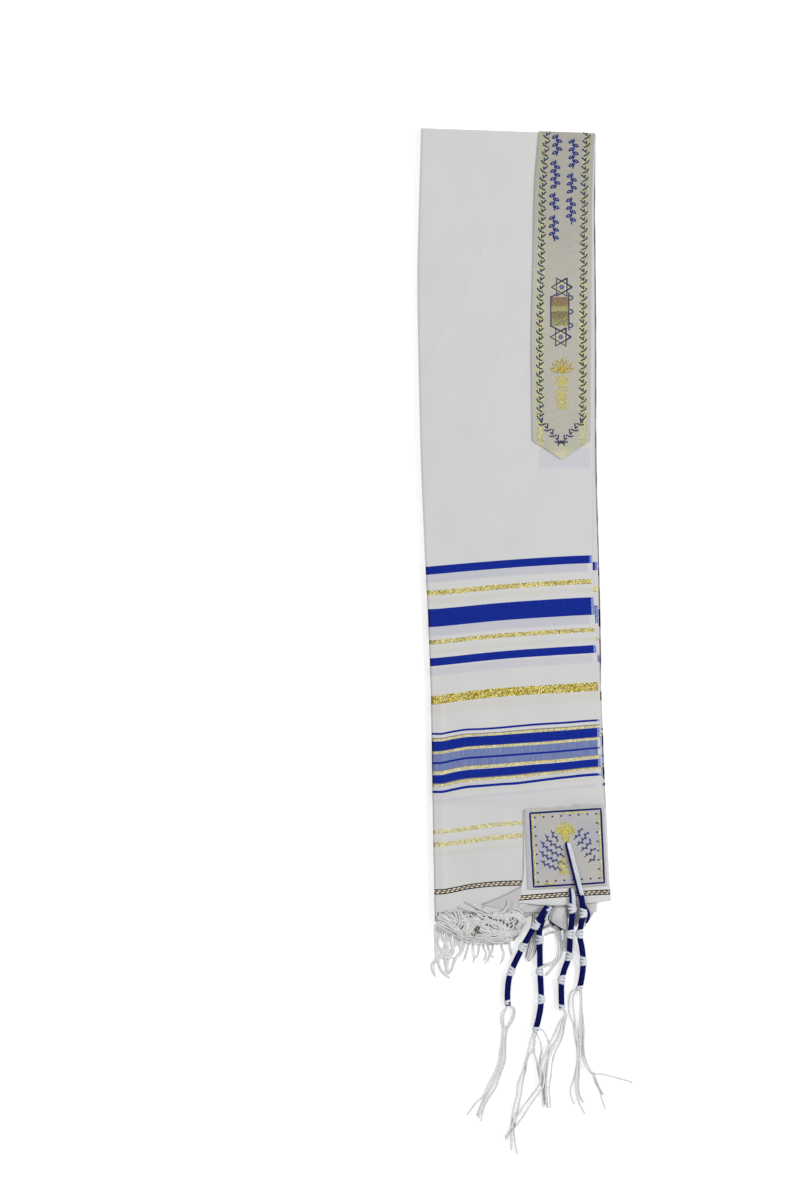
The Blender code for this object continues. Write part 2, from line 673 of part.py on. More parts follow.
def fringe_routes(name, root_z, rest):
    """A tuft's threads: each row keeps its order, sweeps aside and waves on its own level."""
    tuft = FRINGE[name]
    slots = int((tuft["last"] - tuft["first"]) / tuft["step"]) + 1
    routes = []
    for slot in range(slots):
        row = slot % tuft["share"]
        if row >= len(tuft["rows"]):
            continue
        level, sweep, wave = tuft["rows"][row]
        x = tuft["first"] + slot * tuft["step"]
        start = read(tuft["hem"], x) - GAP - STRIP + FRINGE_ROOT
        end = read(FRINGE_ENDS[name], x) + 3.0 * ((slot * 7) % 3)
        places = [(x, start, root_z), (x, start - FRINGE_ROOT - 0.6, root_z)]
        stops = even(tuft["points"], start - FRINGE_ROOT, end)
        ledge = read(LAYERS_HEM, x) - LEDGE
        if ledge < stops[0] - STRIP:
            nearest = min(range(1, len(stops) - 1), key=lambda i: abs(stops[i] - ledge))
            stops[nearest] = ledge
        for y in stops[1:]:
            share = (y - start) / (end - start)
            aside = sweep * share ** 1.3 \
                + wave * math.sin(share * 5.5 + x / 11.0) * share ** 0.7
            places.append((x + aside, y, rest(x + aside, y, level)))
        routes.append([Vector(place) for place in places])
    return routes


def long_routes(root_z, rest):
    """The loose threads that lie on top of the front fringe."""
    tuft = FRINGE["fringe_front"]
    routes = []
    for group, line in LONG_THREADS:
        x = tuft["first"] + (group * tuft["share"] + len(tuft["rows"])) * tuft["step"]
        start = read(tuft["hem"], x) - GAP - STRIP + FRINGE_ROOT
        places = [(x, start, root_z), (x, start - FRINGE_ROOT - 0.6, root_z)]
        places += [(x, y, rest(x, y, 2)) for x, y in line]
        routes.append(smooth_route(places, 7.0))
    return routes


def fringes():
    def on_plies(x, y, level):
        return drape(x, y, GAP + 2 * TAIL_RADIUS + 0.4) + TAIL_RADIUS + level * LEVEL

    def on_surface(x, y, level):
        return TAIL_FLOOR + level * LEVEL

    root_z = SECOND_TOP + GAP + CLOTH / 2
    front = fringe_strip("fringe_front", SECOND_TOP + GAP, CLOTH)
    routes = fringe_routes("fringe_front", root_z, on_plies) + long_routes(root_z, on_plies)
    fuse(front, tubes("fringe_front_threads", routes, TAIL_RADIUS, 0, "thread"))
    for name in ("fringe_under", "fringe_mid", "fringe_right"):
        strip = fringe_strip(name, TAIL_FLOOR - 0.5, 1.0)
        routes = fringe_routes(name, TAIL_FLOOR, on_surface)
        fuse(strip, tubes(name + "_threads", routes, TAIL_RADIUS, 0, "thread"))


for old in list(bpy.data.objects):
    bpy.data.objects.remove(old)
parts = bpy.data.collections.new("prayer_shawl")
guides = bpy.data.collections.new("guides")
bpy.context.scene.collection.children.link(parts)
bpy.context.scene.collection.children.link(guides)

front_panel()
second_ply()
folded_layers()
neckband()
corner_pieces()
hem_curl()
for stem_name in STEMS:
    tzitzit(stem_name)
fringes()
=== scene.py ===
import math
import random

import bmesh
import bpy
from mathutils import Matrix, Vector, noise


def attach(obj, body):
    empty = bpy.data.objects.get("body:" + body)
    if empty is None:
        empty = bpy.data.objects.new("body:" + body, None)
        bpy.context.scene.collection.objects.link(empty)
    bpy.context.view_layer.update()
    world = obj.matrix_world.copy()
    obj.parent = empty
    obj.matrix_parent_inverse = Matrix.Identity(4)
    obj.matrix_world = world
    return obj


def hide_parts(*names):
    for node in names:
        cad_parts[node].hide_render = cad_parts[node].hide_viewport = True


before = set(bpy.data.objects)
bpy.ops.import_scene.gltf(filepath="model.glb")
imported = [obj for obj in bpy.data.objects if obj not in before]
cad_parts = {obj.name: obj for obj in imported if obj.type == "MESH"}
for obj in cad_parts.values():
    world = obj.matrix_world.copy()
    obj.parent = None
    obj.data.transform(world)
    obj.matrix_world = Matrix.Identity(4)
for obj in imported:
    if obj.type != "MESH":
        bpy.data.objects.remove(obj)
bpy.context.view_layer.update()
mm = 0.001
random.seed(18)


def blend(a, b, share):
    return a + (b - a) * share


def smoothStep(low, high, value):
    share = min(max((value - low) / (high - low), 0), 1)
    return share * share * (3 - 2 * share)


def evenly(count, first=0, last=1):
    return [blend(first, last, i / (count - 1)) for i in range(count)]


def cubic(start, end, leave, arrive, t):
    # smooth curve between two values or places, by its slopes at both ends
    rise = end - start
    return start + leave * t + (3 * rise - 2 * leave - arrive) * t ** 2 \
        + (leave + arrive - 2 * rise) * t ** 3


def readTable(rows, at, column=1):
    # a column's value at a place, on a smooth curve through the rows
    places, values = [row[0] for row in rows], [row[column] for row in rows]
    if at <= places[0]:
        return values[0]
    if at >= places[-1]:
        return values[-1]
    after = next(i for i, place in enumerate(places) if place > at)
    span = places[after] - places[after - 1]

    def slope(i):
        low, high = max(i - 1, 0), min(i + 1, len(places) - 1)
        return (values[high] - values[low]) / (places[high] - places[low]) * span

    return cubic(values[after - 1], values[after], slope(after - 1), slope(after),
                 (at - places[after - 1]) / span)


def smoothRoute(places, step):
    # points about a step apart on a smooth curve through the places
    places = [Vector(place) for place in places]
    route = []
    for i, (start, end) in enumerate(zip(places, places[1:])):
        leave = (end - places[max(i - 1, 0)]) / 2
        arrive = (places[min(i + 2, len(places) - 1)] - start) / 2
        count = max(1, round((end - start).length / step))
        route += [cubic(start, end, leave, arrive, j / count) for j in range(count)]
    return route + [places[-1]]


def alongAt(route, i):
    return route[min(i + 1, len(route) - 1)] - route[max(i - 1, 0)]


def acrossAt(route, i):
    along = alongAt(route, i)
    return Vector((-along.y, along.x, 0)).normalized()


# nodes of the materials: each function takes sockets or constants, and finds their tree itself
def shaderTone(tone):
    # a 0-255 screen colour as the shader's linear one; a mask of four numbers stays as it is
    if len(tone) == 4:
        return tone
    linear = [c / 12.92 if c <= 0.04045 else ((c + 0.055) / 1.055) ** 2.4
              for c in (value / 255 for value in tone)]
    return (*linear, 1)


def isSocket(value):
    return isinstance(value, bpy.types.NodeSocket)


def treeOf(values):
    return next(value.id_data for value in values if isSocket(value))


def node(tree, kind, **settings):
    made = tree.nodes.new("ShaderNode" + kind)
    for key, value in settings.items():
        setattr(made, key, value)
    return made


def feed(socket, value):
    if isSocket(value):
        socket.id_data.links.new(value, socket)
    else:
        socket.default_value = shaderTone(value) if socket.type == "RGBA" else value


def feedAll(made, **values):
    for key, value in values.items():
        feed(made.inputs[key], value)
    return made.outputs


def sums(operation, *values):
    made = node(treeOf(values), "Math", operation=operation)
    for socket, value in zip(made.inputs, values):
        feed(socket, value)
    return made.outputs[0]


def times(first, *others):
    for other in others:
        first = sums("MULTIPLY", first, other)
    return first


def plus(first, second):
    return sums("ADD", first, second)


def scaled(value, factor, shift):
    return sums("MULTIPLY_ADD", value, factor, shift)


def larger(first, second):
    return sums("MAXIMUM", first, second)


def above(value, limit):
    return sums("GREATER_THAN", value, limit)


def mapped(value, low, high, first=0, last=1):
    made = node(value.id_data, "MapRange")
    for socket, given in zip(made.inputs, (value, low, high, first, last)):
        feed(socket, given)
    return made.outputs[0]


def mixed(factor, first, second, how="MIX"):
    made = node(treeOf((factor, first, second)), "Mix", data_type="RGBA", blend_type=how)
    for index, value in ((0, factor), (6, first), (7, second)):
        feed(made.inputs[index], value)
    return made.outputs[2]


def ramp(factor, stops, stepped=False):
    made = node(factor.id_data, "ValToRGB")
    made.color_ramp.interpolation = "CONSTANT" if stepped else "LINEAR"
    elements = made.color_ramp.elements
    while len(elements) < len(stops):
        elements.new(0.5)
    for _ in range(2):  # twice, because the ramp sorts its stops while they are placed
        for element, (place, tone) in zip(made.color_ramp.elements, sorted(stops)):
            element.position, element.color = place, shaderTone(tone)
    feed(made.inputs[0], factor)
    return made.outputs[0]


def grain(vector, scale, detail=2, rough=0.5):
    # noise; with two scales, on a vector that is stretched by them first
    if isinstance(scale, tuple):
        vector = feedAll(node(vector.id_data, "Mapping"), Vector=vector, Scale=(*scale, 1))[0]
        scale = 1
    return feedAll(node(vector.id_data, "TexNoise"), Vector=vector, Scale=scale, Detail=detail,
                   Roughness=rough)[0]


def parted(vector, kind="XYZ"):
    made = node(vector.id_data, "Separate" + kind)
    feed(made.inputs[0], vector)
    return made.outputs[:3]


def newGroup(name, inputs, outputs):
    tree = bpy.data.node_groups.new(name, "ShaderNodeTree")
    for kind, sockets in (("INPUT", inputs), ("OUTPUT", outputs)):
        for socketName, (socketType, *value) in sockets.items():
            socket = tree.interface.new_socket(socketName, in_out=kind,
                                               socket_type="NodeSocket" + socketType)
            if value:
                socket.default_value = value[0]
    return tree, tree.nodes.new("NodeGroupInput").outputs, tree.nodes.new("NodeGroupOutput")


def placeGroup(group, **values):
    return feedAll(node(treeOf(values.values()), "Group", node_tree=group), **values)


def newMaterial(name, roughness, gloss=0.04):
    made = bpy.data.materials.new(name)
    made.use_nodes = True
    surface = made.node_tree.nodes["Principled BSDF"].inputs
    surface["Roughness"].default_value = roughness
    surface["Specular IOR Level"].default_value = gloss
    return made, surface


def bump(surface, height, strength, distance):
    made = node(height.id_data, "Bump")
    feed(surface["Normal"], feedAll(made, Height=height, Strength=strength, Distance=distance)[0])


def weavePlace(material, layer="weave"):
    # place in the weave, and its parts: from the selvedge, and along the warp
    uv = node(material.node_tree, "UVMap", uv_map=layer).outputs[0]
    return (uv, *parted(uv)[:2])


def objectPlace(material):
    return node(material.node_tree, "TexCoord").outputs["Object"]


# stripes of the cloth, by place along the warp in mm: upper edge, lower edge, thread
stripes = {
    "upper": {"low": -80, "high": 95, "bands": [
        (81.7, 72.7, "blue"), (55.4, 50.4, "gold"), (35.1, 15.3, "blue"), (0.9, -3.9, "gold"),
        (-19, -27.5, "blue"), (-60.3, -70.1, "gold")]},
    "lower": {"low": -240, "high": -95, "bands": [
        (-100.4, -102.9, "blue"), (-106.2, -107, "brown"), (-107, -109.8, "gold"),
        (-110.2, -120.5, "blue"), (-120.6, -121.3, "brown"), (-121.3, -124.3, "gold"),
        (-124.3, -132.5, "lilac"), (-132.5, -134.8, "blue"), (-134.8, -142.2, "lilac"),
        (-142.2, -143.1, "brown"), (-143.1, -146.3, "gold"), (-146.8, -156, "blue"),
        (-156, -156.8, "brown"), (-156.8, -159.7, "gold"), (-164.1, -166.7, "blue"),
        (-207.2, -211.9, "gold"), (-221, -225.9, "gold")]},
    "braidMiddle": -274.9, "braidHalf": 2.9,
    # masks that carry each thread: red blue thread, green gold (half of it brown), blue lilac
    "threads": {"blue": (1, 0, 0, 1), "gold": (0, 1, 0, 1), "lilac": (0, 0, 1, 1),
                "brown": (0, 0.5, 0, 1), "none": (0, 0, 0, 1)},
}


def makeStripeGroup():
    names = ("Blue", "Gold", "Lilac", "Brown", "Braid", "AcrossBraid")
    tree, given, out = newGroup("wovenStripes", {"Place": ("Float", 0)},
                                {name: ("Float",) for name in names})
    place, threads, halves = given["Place"], stripes["threads"], []
    for part in ("upper", "lower"):
        low, high = stripes[part]["low"], stripes[part]["high"]
        stops = {0: threads["none"]}
        for top, bottom, thread in stripes[part]["bands"]:
            stops[round((bottom - low) / (high - low), 5)] = threads[thread]
            stops.setdefault(round((top - low) / (high - low), 5), threads["none"])
        halves.append(ramp(mapped(place, low * mm, high * mm), list(stops.items()), stepped=True))
    blue, metal, lilac = parted(mixed(1, *halves, "ADD"), "Color")
    gold = above(metal, 0.75)
    across = sums("DIVIDE", sums("SUBTRACT", place, stripes["braidMiddle"] * mm),
                  stripes["braidHalf"] * mm)
    masks = (blue, gold, lilac, sums("SUBTRACT", above(metal, 0.25), gold),
             sums("LESS_THAN", sums("ABSOLUTE", across), 1), across)
    feedAll(out, **dict(zip(names, masks)))
    return tree


def makeWeaveGroup():
    # plain weave: bumps in turn, with thick and thin threads
    tree, given, out = newGroup("plainWeave", {"Vector": ("Vector",), "Pitch": ("Float", 0.0006)},
                                {"Height": ("Float",), "Shade": ("Float",)})
    waves = [sums("SINE", sums("DIVIDE", times(part, math.pi), given["Pitch"]))
             for part in parted(given["Vector"])[:2]]
    slubs = plus(grain(given["Vector"], (60, 900)), grain(given["Vector"], (900, 40)))
    feedAll(out, Height=scaled(slubs, 0.5, scaled(times(*waves), 0.5, 0.5)), Shade=slubs)
    return tree


def makeTinselGroup():
    # flat metal thread: each little facet takes its own tone of gold; the spread from dark brown
    # to pale cream is painted glint and painted shade on the facets
    tree, given, out = newGroup("metalThread", {"Vector": ("Vector",), "Facet": ("Float", 0.001)},
                                {"Color": ("Color",), "Glint": ("Float",)})
    cells = feedAll(node(tree, "TexVoronoi", feature="F1"), Vector=given["Vector"],
                    Scale=sums("DIVIDE", 1, given["Facet"]))
    tone, glint = parted(cells["Color"], "Color")[:2]
    tones = [(0, (112, 88, 30)), (0.2, (152, 130, 46)), (0.4, (188, 168, 64)),
             (0.6, (216, 200, 96)), (0.78, (238, 228, 140)), (0.94, (250, 246, 196))]
    feedAll(out, Color=ramp(tone, tones, stepped=True), Glint=glint)
    return tree


stripeGroup, weaveGroup, tinselGroup = makeStripeGroup(), makeWeaveGroup(), makeTinselGroup()

clothLook = {
    "white": (212, 212, 210), "shadeTone": (207, 207, 208), "slub": (184, 184, 188),
    "blue": (18, 38, 136), "blueLight": (26, 48, 146), "brown": (96, 80, 72),
    "lilac": (104, 117, 167), "lilacLight": (126, 138, 180),
    "mottle": (150, 166, 214), "mottleDark": (62, 82, 168),
    "through": (182, 182, 198), "throughGold": (190, 180, 146), "paleGold": (238, 239, 214),
    "braidDark": (42, 34, 36), "braidGap": (136, 119, 110), "dashWhite": (250, 243, 238),
    "dashGold": (246, 240, 194), "braidTurns": 1150, "foldDark": (30, 16, 12),
    "roughness": 0.9, "goldRoughness": 0.5, "weavePitch": 0.0006, "facet": 0.0009,
    "fray": 0.0007, "haze": 0.006,  # how far stripe edges wander, here and in the ply beneath
    # the ply beneath, by place along the warp: how much lower its stripes lie and how clearly
    # they show; then how far from the selvedge they begin, and how clearly its gold shows
    "lag": (-0.03, 0.08, 0.011, 0.0084), "hint": (-0.035, 0.02, 0.34, 0.6),
    "hintEdge": (0.0045, 0.0065), "hintGold": 0.16,
    # where gold is paler, along the warp; where the selvedge is in shade, from it and along it
    "pallor": ((-0.03, -0.02, 0, 0.14), (-0.078, -0.09, 0, 0.37)),
    "edgeIn": (0.0017, 0.001), "edgeAlong": (-0.055, -0.035),
    # painted shade where the cloth turns over its fold: on undyed cloth, on dyed and metal wefts,
    # and along the warp
    "foldPale": (0.001, 0.0032, 0.42, 0), "foldDyed": (0.0014, 0.0052, 0.75, 0),
    "foldAlong": (0.11, 0.06),
}


def stripesBeneath(ground, look, uv, fromEdge, place):
    # the stripes of the ply beneath show faintly, a little below this ply's own
    haze = scaled(grain(uv, (2200, 1500), 1), look["haze"], -look["haze"] / 2)
    lagging = plus(place, plus(mapped(place, *look["lag"]), haze))
    beneath = placeGroup(stripeGroup, Place=lagging)
    hint = times(beneath["Blue"], mapped(lagging, *look["hint"]),
                 mapped(fromEdge, *look["hintEdge"]))
    ground = mixed(hint, ground, look["through"])
    return mixed(times(beneath["Gold"], look["hintGold"]), ground, look["throughGold"])


def withShadows(ground, spot, zones):
    # soft shadows: left, right, low and high side, then strength, tone and softness
    for (left, right, low, high), strength, tone, soft in zones:
        sides = ((0, left, soft), (0, right, -soft), (1, low, soft), (1, high, -soft))
        inside = [mapped(spot[axis], (side - turn) * mm, (side + turn) * mm)
                  for axis, side, turn in sides]
        ground = mixed(times(*inside, strength), ground, tone)
    return ground


def braidTone(look, uv, fromEdge, acrossBraid):
    # dark hairlines at both sides and along the middle, two rows of pale dashes between them
    across, lower = sums("ABSOLUTE", acrossBraid), above(acrossBraid, 0)
    uneven = grain(uv, (300, 900))
    turns = scaled(fromEdge, look["braidTurns"], times(lower, 2.4))
    twist = sums("SINE", scaled(uneven, 7, turns))
    dash = mixed(mapped(uneven, 0.42, 0.58), look["dashWhite"], look["dashGold"])
    strand = mixed(mapped(twist, -0.2, 0.5), look["braidGap"], dash)
    strand = mixed(mapped(across, 0.5, 0.6), strand, look["braidDark"])
    return mixed(mapped(across, 0.24, 0.1, 0, 0.85), strand, look["braidDark"])


def stripedCloth(name, showThrough=False, selvedge=0, shadows=(), tones=None):
    look = {**clothLook, **(tones or {})}
    made, surface = newMaterial(name, look["roughness"])
    uv, fromEdge, place = weavePlace(made)
    fray = scaled(grain(uv, (1400, 500), 1), look["fray"], -look["fray"] / 2)
    bands = placeGroup(stripeGroup, Place=plus(place, fray))
    weave = placeGroup(weaveGroup, Vector=uv, Pitch=look["weavePitch"])
    tinsel = placeGroup(tinselGroup, Vector=uv, Facet=look["facet"])

    # white ground, with faint cloudiness of the thread and of what lies beneath
    ground = mixed(mapped(grain(uv, (26, 14), 4, 0.6), 0.3, 0.75), look["white"],
                   look["shadeTone"])
    ground = mixed(mapped(weave["Shade"], 0.75, 1.25, 0, 0.12), ground, look["slub"])
    if showThrough:
        ground = stripesBeneath(ground, look, uv, fromEdge, place)
    # painted shade: a dark line beside the selvedge, uneven along it, where the cloth lies in
    # shadow
    if "edge" in look:
        shade = times(mapped(fromEdge, *look["edgeIn"]),
                      mapped(grain(uv, (0, 34)), 0.35, 0.6, 0.5, 1),
                      mapped(place, *look["edgeAlong"]))
        ground = mixed(shade, ground, look["edge"])
    if shadows:
        ground = withShadows(ground, parted(objectPlace(made)), shadows)

    # dyed and metal wefts; near the selvedge the dyed weft breaks into specks
    blueTone = mixed(mapped(weave["Shade"], 0.7, 1.3), look["blue"], look["blueLight"])
    lilacTone = mixed(mapped(grain(uv, (900, 90)), 0.35, 0.65), look["lilac"],
                      look["lilacLight"])
    cover = mapped(fromEdge, (selvedge - 0.3) * mm, (selvedge + 0.3) * mm) if selvedge else 1
    colour = mixed(times(bands["Lilac"], cover), ground, lilacTone)
    goldMask = times(bands["Gold"], above(tinsel["Glint"], 0.04))
    if selvedge:
        mottle = mixed(above(grain(uv, (620, 820), 1), 0.52), look["mottle"],
                       look["mottleDark"])
        speckled = times(sums("SUBTRACT", 1, cover), above(fromEdge, 0.5 * mm))
        colour = mixed(times(bands["Blue"], speckled), colour, mottle)
        goldMask = times(goldMask, above(fromEdge, 0.9 * mm))
    colour = mixed(times(bands["Blue"], cover), colour, blueTone)
    colour = mixed(times(bands["Brown"], 0.8), colour, look["brown"])
    pallor = larger(*[mapped(place, *span) for span in look["pallor"]])
    metalTone = mixed(pallor, tinsel["Color"], look["paleGold"])
    if "gold" in look:
        metalTone = mixed(0.85, metalTone, look["gold"])
    colour = mixed(goldMask, colour, metalTone)
    colour = mixed(bands["Braid"], colour, braidTone(look, uv, fromEdge, bands["AcrossBraid"]))
    if "foldShade" in look:
        # painted shade where the cloth turns over its fold, darkest on the dyed and metal wefts
        fromFold = weavePlace(made, "turned")[1]
        dyed = larger(larger(bands["Blue"], bands["Lilac"]), bands["Gold"])
        pale = times(mapped(fromFold, *look["foldPale"]), mapped(place, *look["foldAlong"]))
        deep = times(mapped(fromFold, *look["foldDyed"]), dyed)
        colour = mixed(larger(pale, deep), colour, look["foldDark"])
    feed(surface["Base Color"], colour)
    feed(surface["Metallic"], times(goldMask, 0.3))
    feed(surface["Roughness"], mapped(goldMask, 0, 1, look["roughness"], look["goldRoughness"]))
    relief = plus(weave["Height"], times(plus(goldMask, bands["Blue"]), 0.5))
    bump(surface, relief, 0.3, 0.00012)
    return made


def yarn(name, tone, darker):
    # spun thread with soft fibres
    made, surface = newMaterial(name, 0.85)
    spot = objectPlace(made)
    fibres = grain(spot, 2600, 3, 0.6)
    soft = scaled(fibres, 0.6, times(grain(spot, 160), 0.4))
    feed(surface["Base Color"], mixed(mapped(soft, 0.36, 0.64), darker, tone))
    bump(surface, fibres, 0.4, 0.0001)
    return made


def metalYarn(name, facet, tone, share):
    made, surface = newMaterial(name, 0.5, 0.2)
    tinsel = placeGroup(tinselGroup, Vector=objectPlace(made), Facet=facet)
    feed(surface["Base Color"], mixed(share, tinsel["Color"], tone))
    feed(surface["Metallic"], 0.15)
    bump(surface, tinsel["Glint"], 0.3, 0.0001)
    return made


def addObject(name, data):
    made = bpy.data.objects.new(name, data)
    bpy.context.scene.collection.objects.link(made)
    return made


def addPiece(name, mesh, material, *nodes, slot="cloth"):
    made = addObject(name, mesh)
    mesh.materials.clear()
    mesh.materials.append(material)
    for face in mesh.polygons:
        face.use_smooth = True
    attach(made, "root")
    if nodes:
        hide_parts(*nodes)
    return made


def evaluatedMesh(piece):
    graph = bpy.context.evaluated_depsgraph_get()
    return bpy.data.meshes.new_from_object(piece.evaluated_get(graph))


def clothGrid(name, columns, rows, place, wall, material, *nodes, slot="cloth"):
    # place gives each point of the grid its position in metres and its place in the weave in mm,
    # after which may come its distance from a fold; the wall is in mm
    bm = bmesh.new()
    bmesh.ops.create_grid(bm, x_segments=len(columns) - 1, y_segments=len(rows) - 1, size=1)
    woven = {}
    for vert in bm.verts:
        column = columns[round((vert.co.x + 1) / 2 * (len(columns) - 1))]
        row = rows[round((vert.co.y + 1) / 2 * (len(rows) - 1))]
        vert.co, woven[vert] = place(column, row)
    weave, turn = bm.loops.layers.uv.new("weave"), bm.loops.layers.uv.new("turned")
    for face in bm.faces:
        for loop in face.loops:
            fromEdge, along, *fromFold = woven[loop.vert]
            loop[weave].uv = (fromEdge * mm, along * mm)
            loop[turn].uv = (sum(fromFold) * mm, 0)
    bmesh.ops.recalc_face_normals(bm, faces=bm.faces)
    if sum(face.normal.z for face in bm.faces) < 0:
        bmesh.ops.reverse_faces(bm, faces=bm.faces)
    mesh = bpy.data.meshes.new(name)
    bm.to_mesh(mesh)
    bm.free()
    made = addPiece(name, mesh, material, *nodes, slot=slot)
    shell = made.modifiers.new("wall", "SOLIDIFY")
    shell.thickness, shell.offset = wall * mm, -1
    rim = made.modifiers.new("rim", "BEVEL")
    rim.width, rim.segments = wall * 0.3 * mm, 2
    rim.limit_method, rim.angle_limit = "ANGLE", math.radians(60)
    return made


def threadPiece(name, routes, radius, roundness, material, *nodes, slot="tzitzit", swells=None,
                flatten=None):
    # round threads along routes in mm; flatten presses them onto a face at a height in mm
    curve = bpy.data.curves.new(name, "CURVE")
    curve.dimensions = "3D"
    curve.bevel_depth, curve.bevel_resolution = radius * mm, roundness
    curve.use_fill_caps = True
    for number, route in enumerate(routes):
        spline = curve.splines.new("POLY")
        spline.points.add(len(route) - 1)
        for i, (spot, point) in enumerate(zip(route, spline.points)):
            point.co = (spot[0] * mm, spot[1] * mm, spot[2] * mm, 1)
            point.radius = swells[number][i] if swells else 1
    drawn = addObject(name + "Line", curve)
    mesh = evaluatedMesh(drawn)
    bpy.data.objects.remove(drawn)
    bm = bmesh.new()
    bm.from_mesh(mesh)
    bmesh.ops.remove_doubles(bm, verts=bm.verts, dist=0.002 * mm)
    if flatten:
        share, face = flatten
        for vert in bm.verts:
            vert.co.z = (face(vert.co.x / mm, vert.co.y / mm) + vert.co.z / mm * share) * mm
    bmesh.ops.recalc_face_normals(bm, faces=bm.faces)
    bm.to_mesh(mesh)
    bm.free()
    mesh.name = name
    return addPiece(name, mesh, material, *nodes, slot=slot)


print("helpers and node groups ready")

studio = {"over": (-0.1371, 0.04565), "height": 3.667, "lens": 100, "world": 0.62,
          "floor": 0.9, "floorGlow": 0.36, "floorSize": 6,
          # power, place and size of each lamp
          "lamps": {"keyLight": (42, (2.2, 0.6, 2), 0.7), "fillLight": (14, (-2, 1.5, 2.4), 2)}}

camera = addObject("camera", bpy.data.cameras.new("camera"))
camera.location = (*studio["over"], studio["height"])
camera.data.lens, camera.data.sensor_width = studio["lens"], 36
camera.data.clip_start = 0.05
bpy.context.scene.camera = camera
bpy.context.scene.view_settings.view_transform = "Standard"

world = bpy.data.worlds.new("studio")
world.use_nodes = True
feedAll(world.node_tree.nodes["Background"], Color=(1, 1, 1, 1), Strength=studio["world"])
bpy.context.scene.world = world

for name, (power, spot, size) in studio["lamps"].items():
    lamp = addObject(name, bpy.data.lights.new(name, "AREA"))
    lamp.data.energy, lamp.data.size = power, size
    lamp.location = spot
    lamp.rotation_euler = Vector(spot).to_track_quat("Z", "Y").to_euler()

bm = bmesh.new()
bmesh.ops.create_grid(bm, x_segments=1, y_segments=1, size=studio["floorSize"])
floor = addObject("floor", bpy.data.meshes.new("floor"))
bm.to_mesh(floor.data)
bm.free()
floorPaint, surface = newMaterial("paleFloor", 0.9)
surface["Base Color"].default_value = (*[studio["floor"]] * 3, 1)
surface["Emission Color"].default_value = (1, 1, 1, 1)
surface["Emission Strength"].default_value = studio["floorGlow"]
floor.data.materials.append(floorPaint)
print("camera, lights and floor ready")

